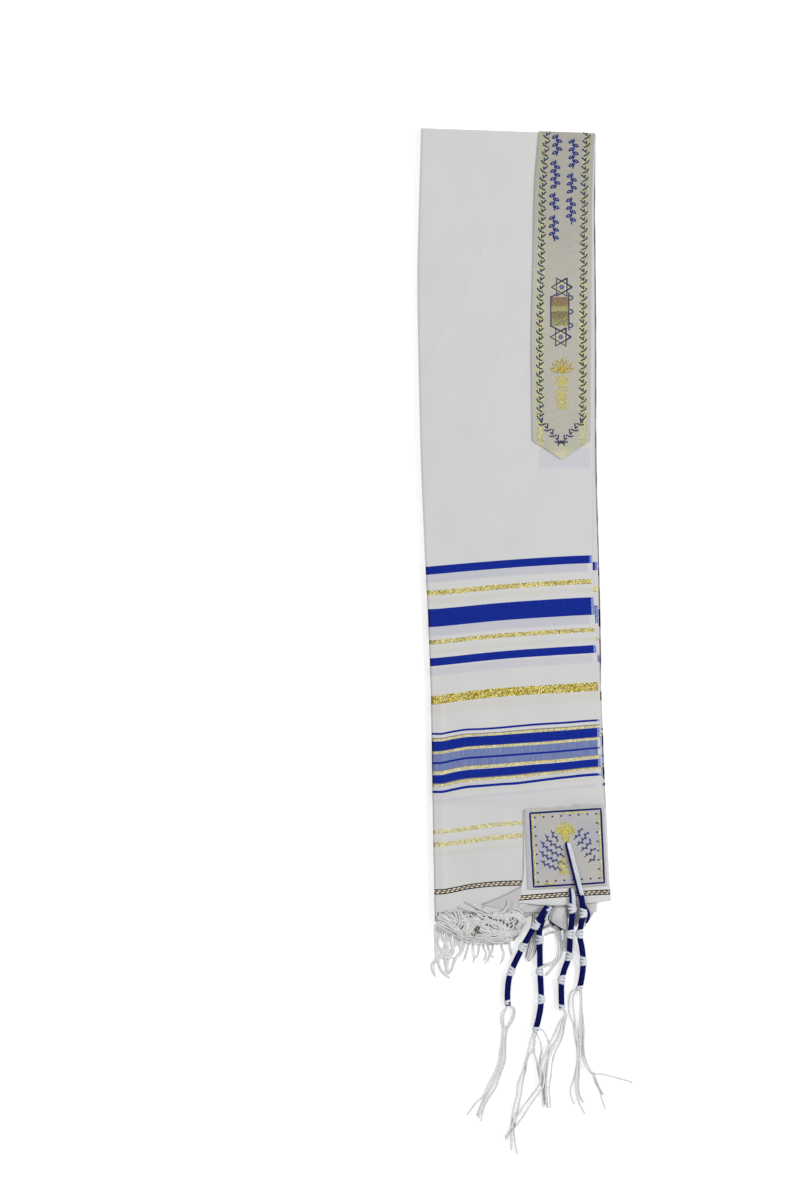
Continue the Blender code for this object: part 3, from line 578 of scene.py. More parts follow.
# the folded cloth, in mm: heights of the faces, then how its folds turn
cloth = {
    "secondTop": 7.1, "frontTop": 8.6, "cornerTop": 10.1, "wall": 1.05, "secondIn": 2.6,
    "leftRadius": 3, "topRadius": 2.5, "leftTurn": math.radians(-60), "turnFade": 24,
    "rolling": (46, 70, 0.35), "rollingFade": 18,  # waves of the face: along x, along y, height
    # long edges along y: left fold, front ply, second ply, fold beneath
    "edges": [
        (-320, -99, 95, 79, 79), (-284, -99.4, 94.1, 79.5, 79.1), (-256, -99.8, 92.3, 85, 84.5),
        (-229, -100.4, 91, 88.2, 89.2), (-184, -101.2, 89, 87.7, 89),
        (-181, -101.2, 87.2, 87.6, 88.9), (-177, -101.3, 86.6, 87.3, 88.7),
        (-163, -101.6, 85, 86.4, 87.9), (-145, -101.9, 83.8, 85.4, 87),
        (-131, -102.1, 83.6, 84.9, 86.3), (-105, -102.5, 82.8, 84.3, 85.5),
        (-53, -103.4, 81.4, 82.4, 83.6), (27, -106.4, 76.7, 80.9, 82.5),
        (90, -109.6, 74.1, 80.2, 80.9), (198, -114.2, 73.9, 76.4, 78.3),
        (332, -117.3, 74, 75.8, 78), (402, -118, 74.2, 75.8, 77.4),
        (472, -116.6, 74.3, 75.6, 76.7), (520, -115.2, 76.2, 76.6, 76.8),
        (564, -114, 78.5, 77.5, 77.2)],
    # hems along x
    "frontHem": [
        (-110, -297), (-88, -297.4), (-76, -297), (-48, -297.6), (-20, -297), (-6, -294),
        (4, -288), (14, -281.5), (40, -280), (100, -277)],
    "secondHem": [
        (-110, -298), (-60, -301), (-20, -300), (10, -297), (35, -299), (60, -300), (90, -295)],
    "layersHem": [
        (-110, -305), (-85, -311), (-64, -318), (-38, -322), (-20, -320), (-5, -308), (8, -301),
        (25, -300), (48, -303), (62, -312), (72, -302), (84, -284)],
    "topEdge": [(-114, 564), (78.5, 557.2)],
    # soft creases: a line from one end to the other, height, half width
    "creases": [
        (-93, -60, -90, -276, 0.7, 7), (-109, 300, -88, 340, 0.5, 5),
        (-78, -170, -24, -174, 0.5, 5), (12, -176, 82, -171, 0.5, 5),
        (-48, -284, -10, -268, 0.8, 6), (-50, 436, -44, 420, 0.4, 4),
        (-30, -178.5, 20, -180, 0.3, 3), (-60, -238, -8, -236, 0.25, 6),
        (-106, 120, -60, 126, 0.25, 9), (20, -180.6, 38, -178.4, 0.7, 2.2),
        (54, -176.8, 74, -174.6, 0.7, 2.2), (30, -176, 58, -174.6, 0.3, 2.2)],
    # how much lower the stripes of the second ply and of the folds beneath lie, along y
    "secondLag": [(-300, 10.6), (-30, 10.6), (10, 9.8), (50, 9.1), (80, 7.6)],
    "foldLag": [(-300, 10), (-40, 10.7), (0, 12.6), (30, 13.6), (70, 13.8)],
    # how far a weft line climbs at these shares of the width, by its place at the left edge
    "shares": [0, 0.06, 0.12, 0.2, 0.3, 0.4, 0.5, 0.6, 0.7, 0.8, 0.9, 1],
    "climb": [
        (-275, 0, 0.7, 2.8, 6, 8.3, 9.5, 10, 10.6, 11, 11.4, 11.7, 12),
        (-224.4, 0, 1, 2.2, 4.1, 6.6, 8.7, 10.2, 11.2, 12, 12.6, 13.1, 13.5),
        (-211, 0, 0.9, 2, 4.2, 7.2, 9.1, 10.5, 11.6, 12.4, 13, 13.4, 13.8),
        (-165.4, 0, 0.2, 2.4, 5.3, 6.8, 8.3, 9.5, 11.8, 14.2, 16.3, 18.2, 19.5),
        (-151.4, 0, 0.3, 2.9, 5.6, 7, 8.4, 10, 11.8, 13.2, 14.9, 17, 18.6),
        (-115.3, 0, 0.7, 2.6, 5.1, 6.5, 7.6, 8.8, 9.9, 11.3, 12.8, 14.3, 15.9),
        (-101.6, 0, 0, 2.2, 4.5, 5.3, 6.6, 8.3, 10, 11.2, 12.3, 13.9, 15),
        (-65.2, 0, 1.6, 3.2, 5.2, 7.3, 9, 10.4, 11.5, 12.6, 13.7, 14.9, 16),
        (-23.3, 0, 1, 2.1, 3.7, 5.7, 7.5, 9.1, 10.4, 11.6, 12.8, 13.9, 15),
        (-1.5, 0, 0.8, 1.8, 3.4, 5.4, 7.2, 8.6, 9.9, 11.1, 12.2, 13.3, 14.2),
        (25.2, 0, 0.7, 1.7, 3.1, 4.9, 6.7, 8.2, 9.5, 10.7, 11.8, 12.8, 13.6),
        (52.9, 0, 0.3, 1.2, 2.5, 4.3, 6, 7.4, 8.7, 9.9, 11.1, 12.1, 12.8),
        (77.2, 0, 1, 2, 3.3, 4.9, 6.4, 7.8, 9.1, 10.3, 11.4, 12.3, 13),
        (300, 0, 0.4, 0.8, 1.3, 1.8, 2.4, 2.9, 3.4, 3.9, 4.3, 4.7, 5),
        (560, 0, -0.4, -0.7, -1.2, -1.8, -2.4, -3, -3.6, -4.2, -4.8, -5.4, -6)],
    # soft shadows on the front ply: left, right, low and high side, strength, tone, softness
    "shadows": [
        ((15.3, 72, 190, 212), 0.9, (199, 199, 205), 1),
        ((-100, 90, -181, -168), 0.35, (196, 197, 202), 5),
        ((35, 41, -180.9, -180), 0.55, (150, 150, 158), 0.8),
        ((51, 62, -179.5, -178.5), 0.6, (140, 140, 150), 0.8),
        ((63, 72, -178.2, -177.3), 0.5, (150, 150, 158), 0.8)],
}
leftFold, frontRight, secondRight, foldRight = 1, 2, 3, 4


def edgeX(y, which):
    return readTable(cloth["edges"], y, which)


def topY(x):
    (x1, y1), (x2, y2) = cloth["topEdge"]
    return y1 + (x - x1) * (y2 - y1) / (x2 - x1)


def crease(x, y):
    height = 0
    for x1, y1, x2, y2, top, half in cloth["creases"]:
        line, start = Vector((x2 - x1, y2 - y1)), Vector((x - x1, y - y1))
        share = min(max(start.dot(line) / line.length_squared, 0), 1)
        away = (start - line * share).length / half
        if away < 1:
            height = max(height, top * (0.5 + 0.5 * math.cos(math.pi * away)))
    alongX, alongY, swell = cloth["rolling"]
    rolling = noise.noise(Vector((x / alongX, y / alongY, 0.3))) * swell
    return height + rolling * smoothStep(0, cloth["rollingFade"], topY(x) - y)


def climbAt(share, place):
    shares = cloth["shares"]
    nearest = min(max(round(share * 10), 2), len(shares) - 3)
    around = range(nearest - 2, nearest + 3) if share >= 0.15 else range(4)
    return readTable([(shares[k], readTable(cloth["climb"], place, k + 1)) for k in around], share)


def wovenPlace(x, y, lag=()):
    # where a point of the cloth lies in the weave: from the right selvedge, and along the warp
    leftX, rightX = edgeX(y, leftFold), edgeX(y, frontRight)
    share = min(max((x - leftX) / (rightX - leftX), 0), 1)
    place = y
    for _ in range(3):
        place = y - climbAt(share, place)
    return rightX - x, place + (readTable(lag, y) if lag else 0)


def roll(distance, radius):
    # inward step and drop of a face that turns over a fold
    quarter = radius * math.pi / 2
    if distance >= quarter:
        return radius + distance - quarter, 0
    turn = distance / radius
    return radius * (1 - math.cos(turn)), radius * (1 - math.sin(turn))


def frontPlace(column, row):
    around, across = column
    over, down = row
    stepY, dropY = roll(over, cloth["topRadius"])
    x = 0
    for _ in range(3):
        y = blend(topY(x) - stepY, readTable(cloth["frontHem"], x), down)
        below = min(max((topY(x) - y) / cloth["turnFade"], 0.1), 1)
        stepX, dropX = roll(around * below if around < 0 else around, cloth["leftRadius"])
        leftX = edgeX(y, leftFold) + stepX
        x = blend(leftX, edgeX(y, frontRight), across)
    z = cloth["frontTop"] - math.hypot(dropX, dropY) + crease(x, y)
    fromFold = around + across * (edgeX(y, frontRight) - leftX)
    return Vector((x, y, z)) * mm, (*wovenPlace(x, y), fromFold)


def frontLines():
    # columns: way around the left fold, then share across; rows: way over the top fold, then down
    under = cloth["leftTurn"] * cloth["leftRadius"]
    flat = cloth["leftRadius"] * math.pi / 2 + 1
    over = cloth["topRadius"] * math.pi / 2
    columns = [(around, 0) for around in evenly(6, under, 0) + evenly(8, 0.7, flat)]
    columns += [(flat, share) for share in evenly(76)[1:]]
    rows = [(around, 0) for around in evenly(7, 0, over)]
    return columns, rows + [(over, share) for share in evenly(320)[1:]]


frontMaterial = stripedCloth("frontCloth", showThrough=True, selvedge=3.2,
                             shadows=cloth["shadows"], tones={"foldShade": 1})
frontCloth = clothGrid("frontCloth", *frontLines(), frontPlace, cloth["wall"], frontMaterial,
                       "front_panel")
print("front ply ready")


def flatPlace(leftEdge, rightEdge, upper, lower, height, lag=()):
    # a ply that lies flat between two side edges and two ends
    def place(across, down):
        x = 0
        for _ in range(4):
            y = blend(upper(x), lower(x), down)
            x = blend(leftEdge(y), rightEdge(y), across)
        along = wovenPlace(x, y, lag)[1]
        return Vector((x, y, height(x, y))) * mm, (rightEdge(y) - x, along)
    return place


secondPlace = flatPlace(lambda y: edgeX(y, leftFold) + cloth["secondIn"],
                        lambda y: edgeX(y, secondRight), lambda x: topY(x) - cloth["secondIn"],
                        lambda x: readTable(cloth["secondHem"], x),
                        lambda x, y: cloth["secondTop"], cloth["secondLag"])
# painted shade: the second ply's white is a little darker than the front ply's
secondMaterial = stripedCloth("secondCloth", selvedge=3.3, tones={"white": (206, 206, 206)})
secondCloth = clothGrid("secondCloth", evenly(24), evenly(180), secondPlace, cloth["wall"],
                        secondMaterial, "second_ply")
print("second ply ready")

# the four plies beneath: each a flat sheet, its edges a little off the others'
layers = {
    "plies": [
        # top, left, right, top end, hem: how far inside the outline
        (1.25, 0.1, -0.4, 0.1, 0.2), (2.65, 0.2, -0.6, 0.3, 0), (4.05, 2.7, -0.7, 0.2, 0.5),
        (5.55, 2.8, -0.6, 0.4, 0.7)],
    "wall": 1.15,
    # painted shade: the plies beneath are the same cloth in much darker tones, their gold dark
    # brown, with a still darker line along their edge
    "tones": {"white": (196, 194, 194), "shadeTone": (190, 189, 190), "blue": (10, 6, 58),
              "blueLight": (16, 10, 68), "gold": (90, 38, 30), "edge": (74, 70, 80)},
}


def layerPlace(top, leftIn, rightIn, topIn, hemIn):
    return flatPlace(lambda y: edgeX(y, leftFold) + leftIn,
                     lambda y: edgeX(y, foldRight) - rightIn, lambda x: topY(x) - topIn,
                     lambda x: readTable(cloth["layersHem"], x) + hemIn,
                     lambda x, y: top, cloth["foldLag"])


layerMaterial = stripedCloth("lowerCloth", tones=layers["tones"])
layerPieces = [clothGrid("layerCloth%d" % (i + 1), evenly(20), evenly(170), layerPlace(*ply),
                         layers["wall"], layerMaterial) for i, ply in enumerate(layers["plies"])]
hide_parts("folded_layers")
print("lower plies ready")

neckband = {
    "wall": 0.9, "lift": 1.3, "point": (40.4, 200), "shoulder": 220.6,
    # along y: left and right side
    "edges": [(190, 8.6, 71.6), (220, 8.1, 71.9), (332, 7, 72.6), (423, 9, 73.3),
              (498, 10.5, 74.1), (561, 15.4, 76.8)],
    "ground": (184, 182, 170), "cloudy": (186, 181, 174), "border": (184, 186, 162),
    "borderLight": (196, 196, 158), "margin": (187, 187, 182), "tip": (208, 202, 174),
    # upper: painted shade over the band's upper part
    "slub": (140, 138, 130), "upper": (128, 128, 126), "facet": 0.0012, "weavePitch": 0.0008,
    # where a tone or the metal thread begins and is full: in metres from the middle line
    "borderFrom": (0.018, 0.020), "marginFrom": (0.0278, 0.029),
    "metalFrom": (0.0185, 0.0205), "metalTo": (0.029, 0.0262),
    # in metres from the point
    "tipBorder": (0.026, 0.018), "tipFrom": (0.017, 0.006), "tipMetal": (0.020, 0.026),
    "upperShadeFrom": (0.19, 0.30),
}
bandRadius = cloth["topRadius"] + neckband["lift"]


def bandMiddle(y):
    return (readTable(neckband["edges"], y, 1) + readTable(neckband["edges"], y, 2)) / 2


def bandPlace(across, row):
    over, down = row
    stepY, dropY = roll(over, bandRadius)
    tipX, tipY = neckband["point"]
    x = tipX
    for _ in range(4):
        slant = (neckband["shoulder"] - tipY) * abs(2 * across - 1)
        y = blend(topY(x) + neckband["lift"] - stepY, tipY + slant, down)
        x = blend(readTable(neckband["edges"], y, 1), readTable(neckband["edges"], y, 2), across)
    z = cloth["frontTop"] + neckband["lift"] - dropY + crease(x, y)
    return Vector((x, y, z)) * mm, (x - bandMiddle(y), y - tipY)


def bandTop(x, y):
    # height of the neckband's face, also where it turns over the top fold
    away = bandRadius - min(topY(x) + neckband["lift"] - y, bandRadius)
    drop = bandRadius - math.sqrt(max(bandRadius ** 2 - away ** 2, 0))
    return cloth["frontTop"] + neckband["lift"] - drop + crease(x, y)


def bandCloth():
    # distances from the middle line and from the point are in metres here
    made, surface = newMaterial("bandCloth", 0.7)
    uv, aside, fromTip = weavePlace(made)
    out = sums("ABSOLUTE", aside)
    colour = mixed(mapped(grain(uv, 60, 3), 0.4, 0.65), neckband["ground"], neckband["cloudy"])
    border = mixed(mapped(grain(uv, (700, 500), 3), 0.35, 0.7), neckband["border"],
                   neckband["borderLight"])
    colour = mixed(mapped(out, *neckband["borderFrom"]), colour, border)
    colour = mixed(mapped(out, *neckband["marginFrom"]), colour, neckband["margin"])
    towardsTip = scaled(out, 0.45, fromTip)
    colour = mixed(mapped(towardsTip, *neckband["tipBorder"]), colour, neckband["border"])
    colour = mixed(mapped(towardsTip, *neckband["tipFrom"]), colour, neckband["tip"])
    # metal thread: many facets in the border, a few elsewhere
    tinsel = placeGroup(tinselGroup, Vector=uv, Facet=neckband["facet"])
    inBorder = times(mapped(out, *neckband["metalFrom"]), mapped(out, *neckband["metalTo"]),
                     mapped(towardsTip, *neckband["tipMetal"]))
    bright = larger(times(inBorder, above(tinsel["Glint"], 0.70)),
                    times(above(tinsel["Glint"], 0.97), 0.5))
    colour = mixed(times(bright, 0.7), colour, tinsel["Color"])
    weave = placeGroup(weaveGroup, Vector=uv, Pitch=neckband["weavePitch"])
    colour = mixed(mapped(weave["Shade"], 0.7, 1.3, 0, 0.2), colour, neckband["slub"])
    # painted shade: the upper part is darkened, as if it lay in a softer light
    colour = mixed(mapped(fromTip, *neckband["upperShadeFrom"], 0, 0.28), colour, neckband["upper"])
    feed(surface["Base Color"], colour)
    feed(surface["Roughness"], mapped(bright, 0, 1, 0.7, 0.45))
    bump(surface, weave["Height"], 0.35, 0.00015)
    return made


bandRows = [(around, 0) for around in evenly(7, 0, bandRadius * math.pi / 2)]
bandRows += [(bandRows[-1][0], share) for share in evenly(150)[1:]]
band = clothGrid("neckbandCloth", evenly(29), bandRows, bandPlace, neckband["wall"], bandCloth(),
                 "neckband", slot="neckband")
print("neckband ready")

# motifs: flat stitches on a face, each motif a list of strokes
navy = yarn("navyStitch", (40, 58, 134), (28, 42, 112))
slate = yarn("slateStitch", (70, 76, 112), (52, 56, 90))
gold = metalYarn("goldStitch", 0.0009, (188, 162, 66), 0.6)
brightGold = metalYarn("brightGold", 0.0009, (222, 214, 112), 0.55)


def turned(shape, spot, angle=0):
    # a motif's strokes, turned and set on a spot
    cos, sin = math.cos(angle), math.sin(angle)
    return [[(spot[0] + x * cos - y * sin, spot[1] + x * sin + y * cos, 0)
             for x, y, *_ in stroke] for stroke in shape]


def polar(radius, angle, centre=(0, 0)):
    return (centre[0] + radius * math.cos(angle), centre[1] + radius * math.sin(angle))


def almond(length, width):
    return [[(0, 0), (side * width, length * 0.5), (0, length)] for side in (1, -1)]


def rosette(size, petals):
    strokes = []
    for k in range(petals):
        a = 2 * math.pi * k / petals
        strokes += [[(0, 0), polar(0.55 * size, a + side * math.pi / petals), polar(size, a)]
                    for side in (-1, 1)]
    return strokes


def garland(length, wave, every, leaf):
    # a wavy stem along x, with a leaf to each side in turn
    points = max(round(length / every * 2), 3)
    strokes = [[(x, wave * math.sin(math.pi * x / every)) for x in evenly(points, 0, length)]]
    for k in range(int(length / every)):
        x, side = every * (k + 0.5), (-1, 1)[k % 2]
        strokes += turned(almond(leaf, leaf * 0.24), (x, side * wave * 0.6),
                          -math.pi / 2 + side * 1.05)
    return strokes


def stitched(name, strokes, step, width, material, face=bandTop, slot="neckband", raised=0.02,
             share=0.35):
    # with a step, the strokes are softened into curves; share is how little they are pressed
    if step:
        strokes = [smoothRoute(stroke, step) for stroke in strokes]
    return threadPiece(name, strokes, width, 0, material, slot=slot,
                       flatten=(share, lambda x, y: face(x, y) + raised))


vine = {"pitch": 9.35, "first": 560, "last": 246, "insets": (9.4, 9), "width": 0.78,
        "unit": [[(-0.8, 3.6), (-0.3, 1.4), (-0.8, -0.6)], [(-3.8, 1.2), (-2.5, -1.7), (2.4, -4)],
                 [(3.9, 3.9), (1.9, 2), (0.4, 0.6)]],
        "tip": (39.8, 217.6), "corners": ((16.6, 243), (63.4, 243)),
        "knot": [[(-3.6, 3.4), (-2.6, 0.4), (-3.6, -2.6)], [(3.6, 3.4), (2.6, 0.4), (3.6, -2.6)],
                 [(-2.6, 0.4), (2.6, 0.4)]]}


def vineUnit(acrossBy, alongBy=1):
    return [[(x * acrossBy, y * alongBy) for x, y in stroke] for stroke in vine["unit"]]


def vineStrokes():
    # a zigzag down both sides, then in to a knot at the point
    strokes = []
    y = vine["first"] - vine["pitch"] / 2
    while y > vine["last"]:
        for side, column, inset in ((1, 1, vine["insets"][0]), (-1, 2, vine["insets"][1])):
            spot = (readTable(neckband["edges"], y, column) + side * inset, y)
            strokes += turned(vineUnit(side), spot)
        y -= vine["pitch"]
    strokes += turned(vine["knot"], vine["tip"])
    for side, corner in zip((1, -1), vine["corners"]):
        line = Vector(vine["tip"]) - Vector(corner)
        for k in range(4):
            strokes += turned(vineUnit(1.05 * side, 0.95), Vector(corner) + line * ((k + 0.4) / 4),
                              math.atan2(line.y, line.x) + math.pi / 2)
    return strokes


stitched("vineBorder", vineStrokes(), 1.3, vine["width"], slate)

stars = {"places": [(40.4, 388.9), (39.3, 334.2)], "radius": 11.4, "inner": 3.2, "width": 0.92,
         "core": 1.7, "bead": 0.55}
starLines, starGlow, coreLines = [], [], []
for spot in stars["places"]:
    for first in (0, 60):
        for size, lines in ((stars["radius"], starLines),
                            (stars["radius"] - stars["inner"], starGlow)):
            corners = [polar(size, math.radians(first + 120 * k)) for k in range(4)]
            lines += turned([corners], spot)
    for k in range(6):
        bead = [polar(stars["bead"], math.radians(60 * i)) for i in range(7)]
        coreLines += turned([bead], polar(stars["core"], math.radians(60 * k), spot))
stitched("starGlow", starGlow, 0, 1, yarn("creamYarn", (220, 216, 178), (196, 190, 142)),
         raised=0, share=0.2)
stitched("starLines", starLines, 0, stars["width"], yarn("starBlue", (54, 66, 106), (42, 52, 90)),
         raised=0.1)
stitched("starCores", coreLines, 0, 0.75, yarn("duskStitch", (112, 116, 162), (98, 100, 150)))

# leaf garlands in two columns above the stars: middle, top, lengths
garlands = {"columns": [(31.4, 557, (24, 31, 20, 29)), (50, 552, (33, 22, 30))],
            "gap": 4.6, "width": 0.72, "shape": (0.9, 4.3, 5.4)}
garlandLines = []
for x, top, lengths in garlands["columns"]:
    for length in lengths:
        slide = bandMiddle(top - length / 2) - bandMiddle(420)
        garlandLines += turned(garland(length, *garlands["shape"]), (x + slide, top), -math.pi / 2)
        top -= length + garlands["gap"]
stitched("leafGarlands", garlandLines, 1.2, garlands["width"],
         yarn("garlandBlue", (36, 58, 140), (26, 44, 118)))

# woven block between the stars, with a chain of loops down its right side
block = {"left": 28.4, "right": 48.2, "upper": 378, "lower": 346.4, "speck": (86, 74, 52),
         "facet": 0.0009, "weavePitch": 0.0009,
         "tones": [(0, (134, 114, 92)), (0.30, (144, 124, 96)), (0.35, (160, 158, 120)),
                   (0.47, (164, 162, 124)), (0.53, (118, 114, 88)), (1, (150, 148, 116))],
         # how much metal thread shows, on the way down
         "metal": [(0, 0.10), (0.31, 0.10), (0.36, 0.55), (0.48, 0.45), (0.54, 0.18),
                   (0.9, 0.35), (1, 0.6)],
         "loop": [(-1, 2.4), (1.6, 1.6), (2.4, 0), (1.4, -1.8), (-1, -2.4)]}


def blockPlace(across, down):
    x = blend(block["left"], block["right"], across)
    y = blend(block["upper"], block["lower"], down)
    return Vector((x, y, bandTop(x, y) + 0.25)) * mm, (x - block["left"], block["upper"] - y)


def blockCloth():
    made, surface = newMaterial("blockCloth", 0.7)
    uv, _, fromTop = weavePlace(made)
    tinsel = placeGroup(tinselGroup, Vector=uv, Facet=block["facet"])
    down = mapped(fromTop, 0, (block["upper"] - block["lower"]) * mm)
    share = ramp(down, [(place, (metal, metal, metal, 1)) for place, metal in block["metal"]])
    chosen = sums("LESS_THAN", tinsel["Glint"], share)
    colour = mixed(times(chosen, 0.5), ramp(down, block["tones"]), tinsel["Color"])
    specks = grain(uv, (800, 600))
    feed(surface["Base Color"], mixed(mapped(specks, 0.5, 0.68, 0, 0.5), colour, block["speck"]))
    weave = placeGroup(weaveGroup, Vector=uv, Pitch=block["weavePitch"])
    bump(surface, weave["Height"], 0.4, 0.00015)
    return made


clothGrid("wovenBlock", evenly(9), evenly(13), blockPlace, 0.3, blockCloth(), slot="neckband")
left, right, upper, lower = (block[key] for key in ("left", "right", "upper", "lower"))
sides = [[(left, upper + 1, 0), (left, lower - 1, 0)],
         [(right, upper + 5, 0), (right, lower - 5, 0)],
         [(left, upper, 0), (left + 9, upper + 4.4, 0)],
         [(left, lower, 0), (left + 9, lower - 5, 0)]]
for k in range(3):
    sides += turned([block["loop"]], (right + 1.9, upper - 0.8 - 15.2 * k))
stitched("blockEdges", sides, 1, 0.6, slate, raised=0.3)

# gold palmette, rosette and leaf sprig near the band's point
goldSprig = {"palmette": (40.6, 295.5), "rosette": (40.4, 285), "sprig": (40.2, 263.6),
             "width": 0.66}
goldLines = []
for k in range(7):
    goldLines += turned(almond(15.4 - 0.6 * abs(k - 3), 1.9), goldSprig["palmette"],
                        math.radians(72 - 24 * k))
paleLines = turned(rosette(8.2, 6), goldSprig["rosette"], 0.3)
x, y = goldSprig["sprig"]
paleLines += turned([[(0, 15), (0, -9)]], (x, y))
for k in range(4):
    for side in (-1, 1):
        paleLines += turned(almond(9.4 - 0.9 * k, 1.7), (x, y + 7 - 5.2 * k), -side * 0.95)
stitched("goldPalmette", goldLines, 1, goldSprig["width"], gold, share=0.15)
stitched("goldSprig", paleLines, 1, goldSprig["width"], brightGold, share=0.15)
print("neckband motifs ready")

# the front hem turns up in a soft three-cornered fold beside the corner
hemFold = {"tip": (-48.5, -288.4), "upper": (-3.6, -268), "lower": (-6.6, -297.4), "raise": 0.95,
           "wall": 0.7, "bow": 1.6, "puff": 0.9, "along": 150,
           # painted shade: the turned hem is greyer than the front ply, with a dark line along its
           # upper edge; its place along the warp keeps that line full
           "tones": {"white": (199, 197, 197), "shadeTone": (188, 186, 187),
                     "edge": (150, 148, 150)}}


def foldPlace(across, down):
    tip, upper, lower = [Vector(hemFold[key]) for key in ("tip", "upper", "lower")]
    spot = tip.lerp(upper.lerp(lower, down), blend(0.03, 1, across))
    bow = hemFold["bow"] * math.sin(math.pi * across) * (1 - down)
    puff = hemFold["puff"] * math.sin(math.pi * min(down * 1.6, 1)) * across
    z = cloth["frontTop"] + hemFold["raise"] + crease(spot.x, spot.y) + puff
    fromUpper = (upper - lower).length * down * across
    return Vector((spot.x, spot.y - bow, z)) * mm, (fromUpper, hemFold["along"])


turnedHem = clothGrid("turnedHem", evenly(24), evenly(13), foldPlace, hemFold["wall"],
                      stripedCloth("turnedHem", tones=hemFold["tones"]))

corner = {
    # each shape: its upper and lower end by three points; then its sides
    "shape": {"top": [(-1.4, -187), (42, -185.4), (88.2, -183)],
              "low": [(-7.3, -286.6), (34.5, -289.6), (93.6, -284.6)],
              "leftSide": [(-287, -7.4), (-279, -6), (-267, -3.8), (-258, -1.9),
                           (-249, -1.2), (-187, -1)]},
    "patch": {"top": [(-0.4, -183.6), (42, -181.4), (86.2, -178.6)],
              "low": [(3.4, -272), (46, -270), (90, -267.6)]},
    "step": 2.6, "patchTop": 11.4, "eyelet": (46.6, -221.7), "lowerEyelet": (50.8, -271.6),
    "eyeletRadius": 2.4, "frame": [(5.3, -188.2), (83.1, -183.2), (87, -264.3), (9.5, -269)],
    "frameSize": (78, 81.5),
    # painted light: the corner's cloth is a little lighter than the front ply's
    "tones": {"white": (220, 220, 219), "shadeTone": (214, 214, 215)},
    "satin": [(0.32, (177, 177, 185)), (0.5, (185, 183, 182)), (0.68, (190, 186, 177))],
    # folds: painted shade of the soft folds left of the frame
    "folds": [(0, (206, 206, 208)), (0.3, (182, 182, 188)), (0.55, (194, 194, 202)),
              (1, (186, 186, 197))], "margin": (188, 189, 196), "slub": (150, 148, 150),
    # across the patch in metres: the painted shade of folds left of the frame, and the margin
    # right of it
    "foldsAcross": (-0.010, -0.004), "foldsFrom": (-0.0035, -0.005),
    "marginFrom": (0.0735, 0.0745), "weavePitch": 0.0007,
}


def ends(shape):
    return (lambda x: readTable(shape["top"], x)), (lambda x: readTable(shape["low"], x))


def cornerPlace(across, down):
    place = flatPlace(lambda y: readTable(corner["shape"]["leftSide"], y),
                      lambda y: edgeX(y, frontRight) + 0.2, *ends(corner["shape"]),
                      lambda x, y: cloth["cornerTop"])
    spot, (fromEdge, _) = place(across, down)
    tilt = 6.6 * (1 - (1 - min(max((spot.x / mm + 7) / 100, 0), 1)) ** 1.3)
    return spot, (fromEdge, min(spot.y / mm - tilt + 6.5, -240))


def patchTop(x, y):
    share = smoothStep(0, corner["step"], readTable(corner["patch"]["top"], x) - y)
    return blend(cloth["frontTop"] + 1.3 + crease(x, y), corner["patchTop"], share)


def patchPlace(across, down):
    def side(index):
        (x1, y1), (x2, y2) = corner["patch"]["low"][index], corner["patch"]["top"][index]
        return lambda y: blend(x1, x2, (y - y1) / (y2 - y1))

    spot, _ = flatPlace(side(0), side(2), *ends(corner["patch"]), patchTop)(across, down)
    return spot, (spot.x / mm, spot.y / mm)


def patchCloth():
    made, surface = newMaterial("patchSatin", 0.6)
    uv, acrossPatch, alongPatch = weavePlace(made)
    colour = ramp(grain(uv, (30, 22)), corner["satin"])
    # outside the frame the cloth is plain, with painted shade of soft folds beside the frame's
    # left side
    slant = scaled(alongPatch, 0.05, acrossPatch)
    folds = ramp(mapped(slant, *corner["foldsAcross"]), corner["folds"])
    colour = mixed(mapped(slant, *corner["foldsFrom"]), colour, folds)
    colour = mixed(mapped(slant, *corner["marginFrom"]), colour, corner["margin"])
    weave = placeGroup(weaveGroup, Vector=uv, Pitch=corner["weavePitch"])
    colour = mixed(mapped(weave["Shade"], 0.7, 1.3, 0, 0.15), colour, corner["slub"])
    feed(surface["Base Color"], colour)
    bump(surface, weave["Height"], 0.3, 0.00012)
    return made


def cutEyelet(piece, spot):
    # the round hole that a knotted fringe passes through
    bpy.ops.mesh.primitive_cylinder_add(vertices=24, radius=corner["eyeletRadius"] * mm,
                                        depth=20 * mm, location=Vector((*spot, 11)) * mm)
    cutter = bpy.context.object
    hole = piece.modifiers.new("eyelet", "BOOLEAN")
    hole.operation, hole.object, hole.solver = "DIFFERENCE", cutter, "EXACT"
    mesh = evaluatedMesh(piece)
    piece.modifiers.clear()
    piece.data = mesh
    bpy.data.objects.remove(cutter)


cornerCloth = clothGrid("cornerCloth", evenly(42), evenly(44), cornerPlace, cloth["wall"],
                        stripedCloth("cornerCloth", selvedge=3, tones=corner["tones"]),
                        "front_corner")
cutEyelet(cornerCloth, corner["eyelet"])
cutEyelet(cornerCloth, corner["lowerEyelet"])
patch = clothGrid("cornerPatch", evenly(42), evenly(8, 0, 0.03) + evenly(40, 0.05, 1),
                  patchPlace, 0.9, patchCloth(), "corner_patch", slot="patch")
cutEyelet(patch, corner["eyelet"])


def framePoint(u, v, inset=0):
    # a point in the frame by its shares across and down, drawn in by an inset in mm
    topLeft, topRight, lowRight, lowLeft = [Vector(p) for p in corner["frame"]]
    u, v = [blend(inset / size, 1 - inset / size, share)
            for size, share in zip(corner["frameSize"], (u, v))]
    return topLeft.lerp(topRight, u).lerp(lowLeft.lerp(lowRight, u), v)


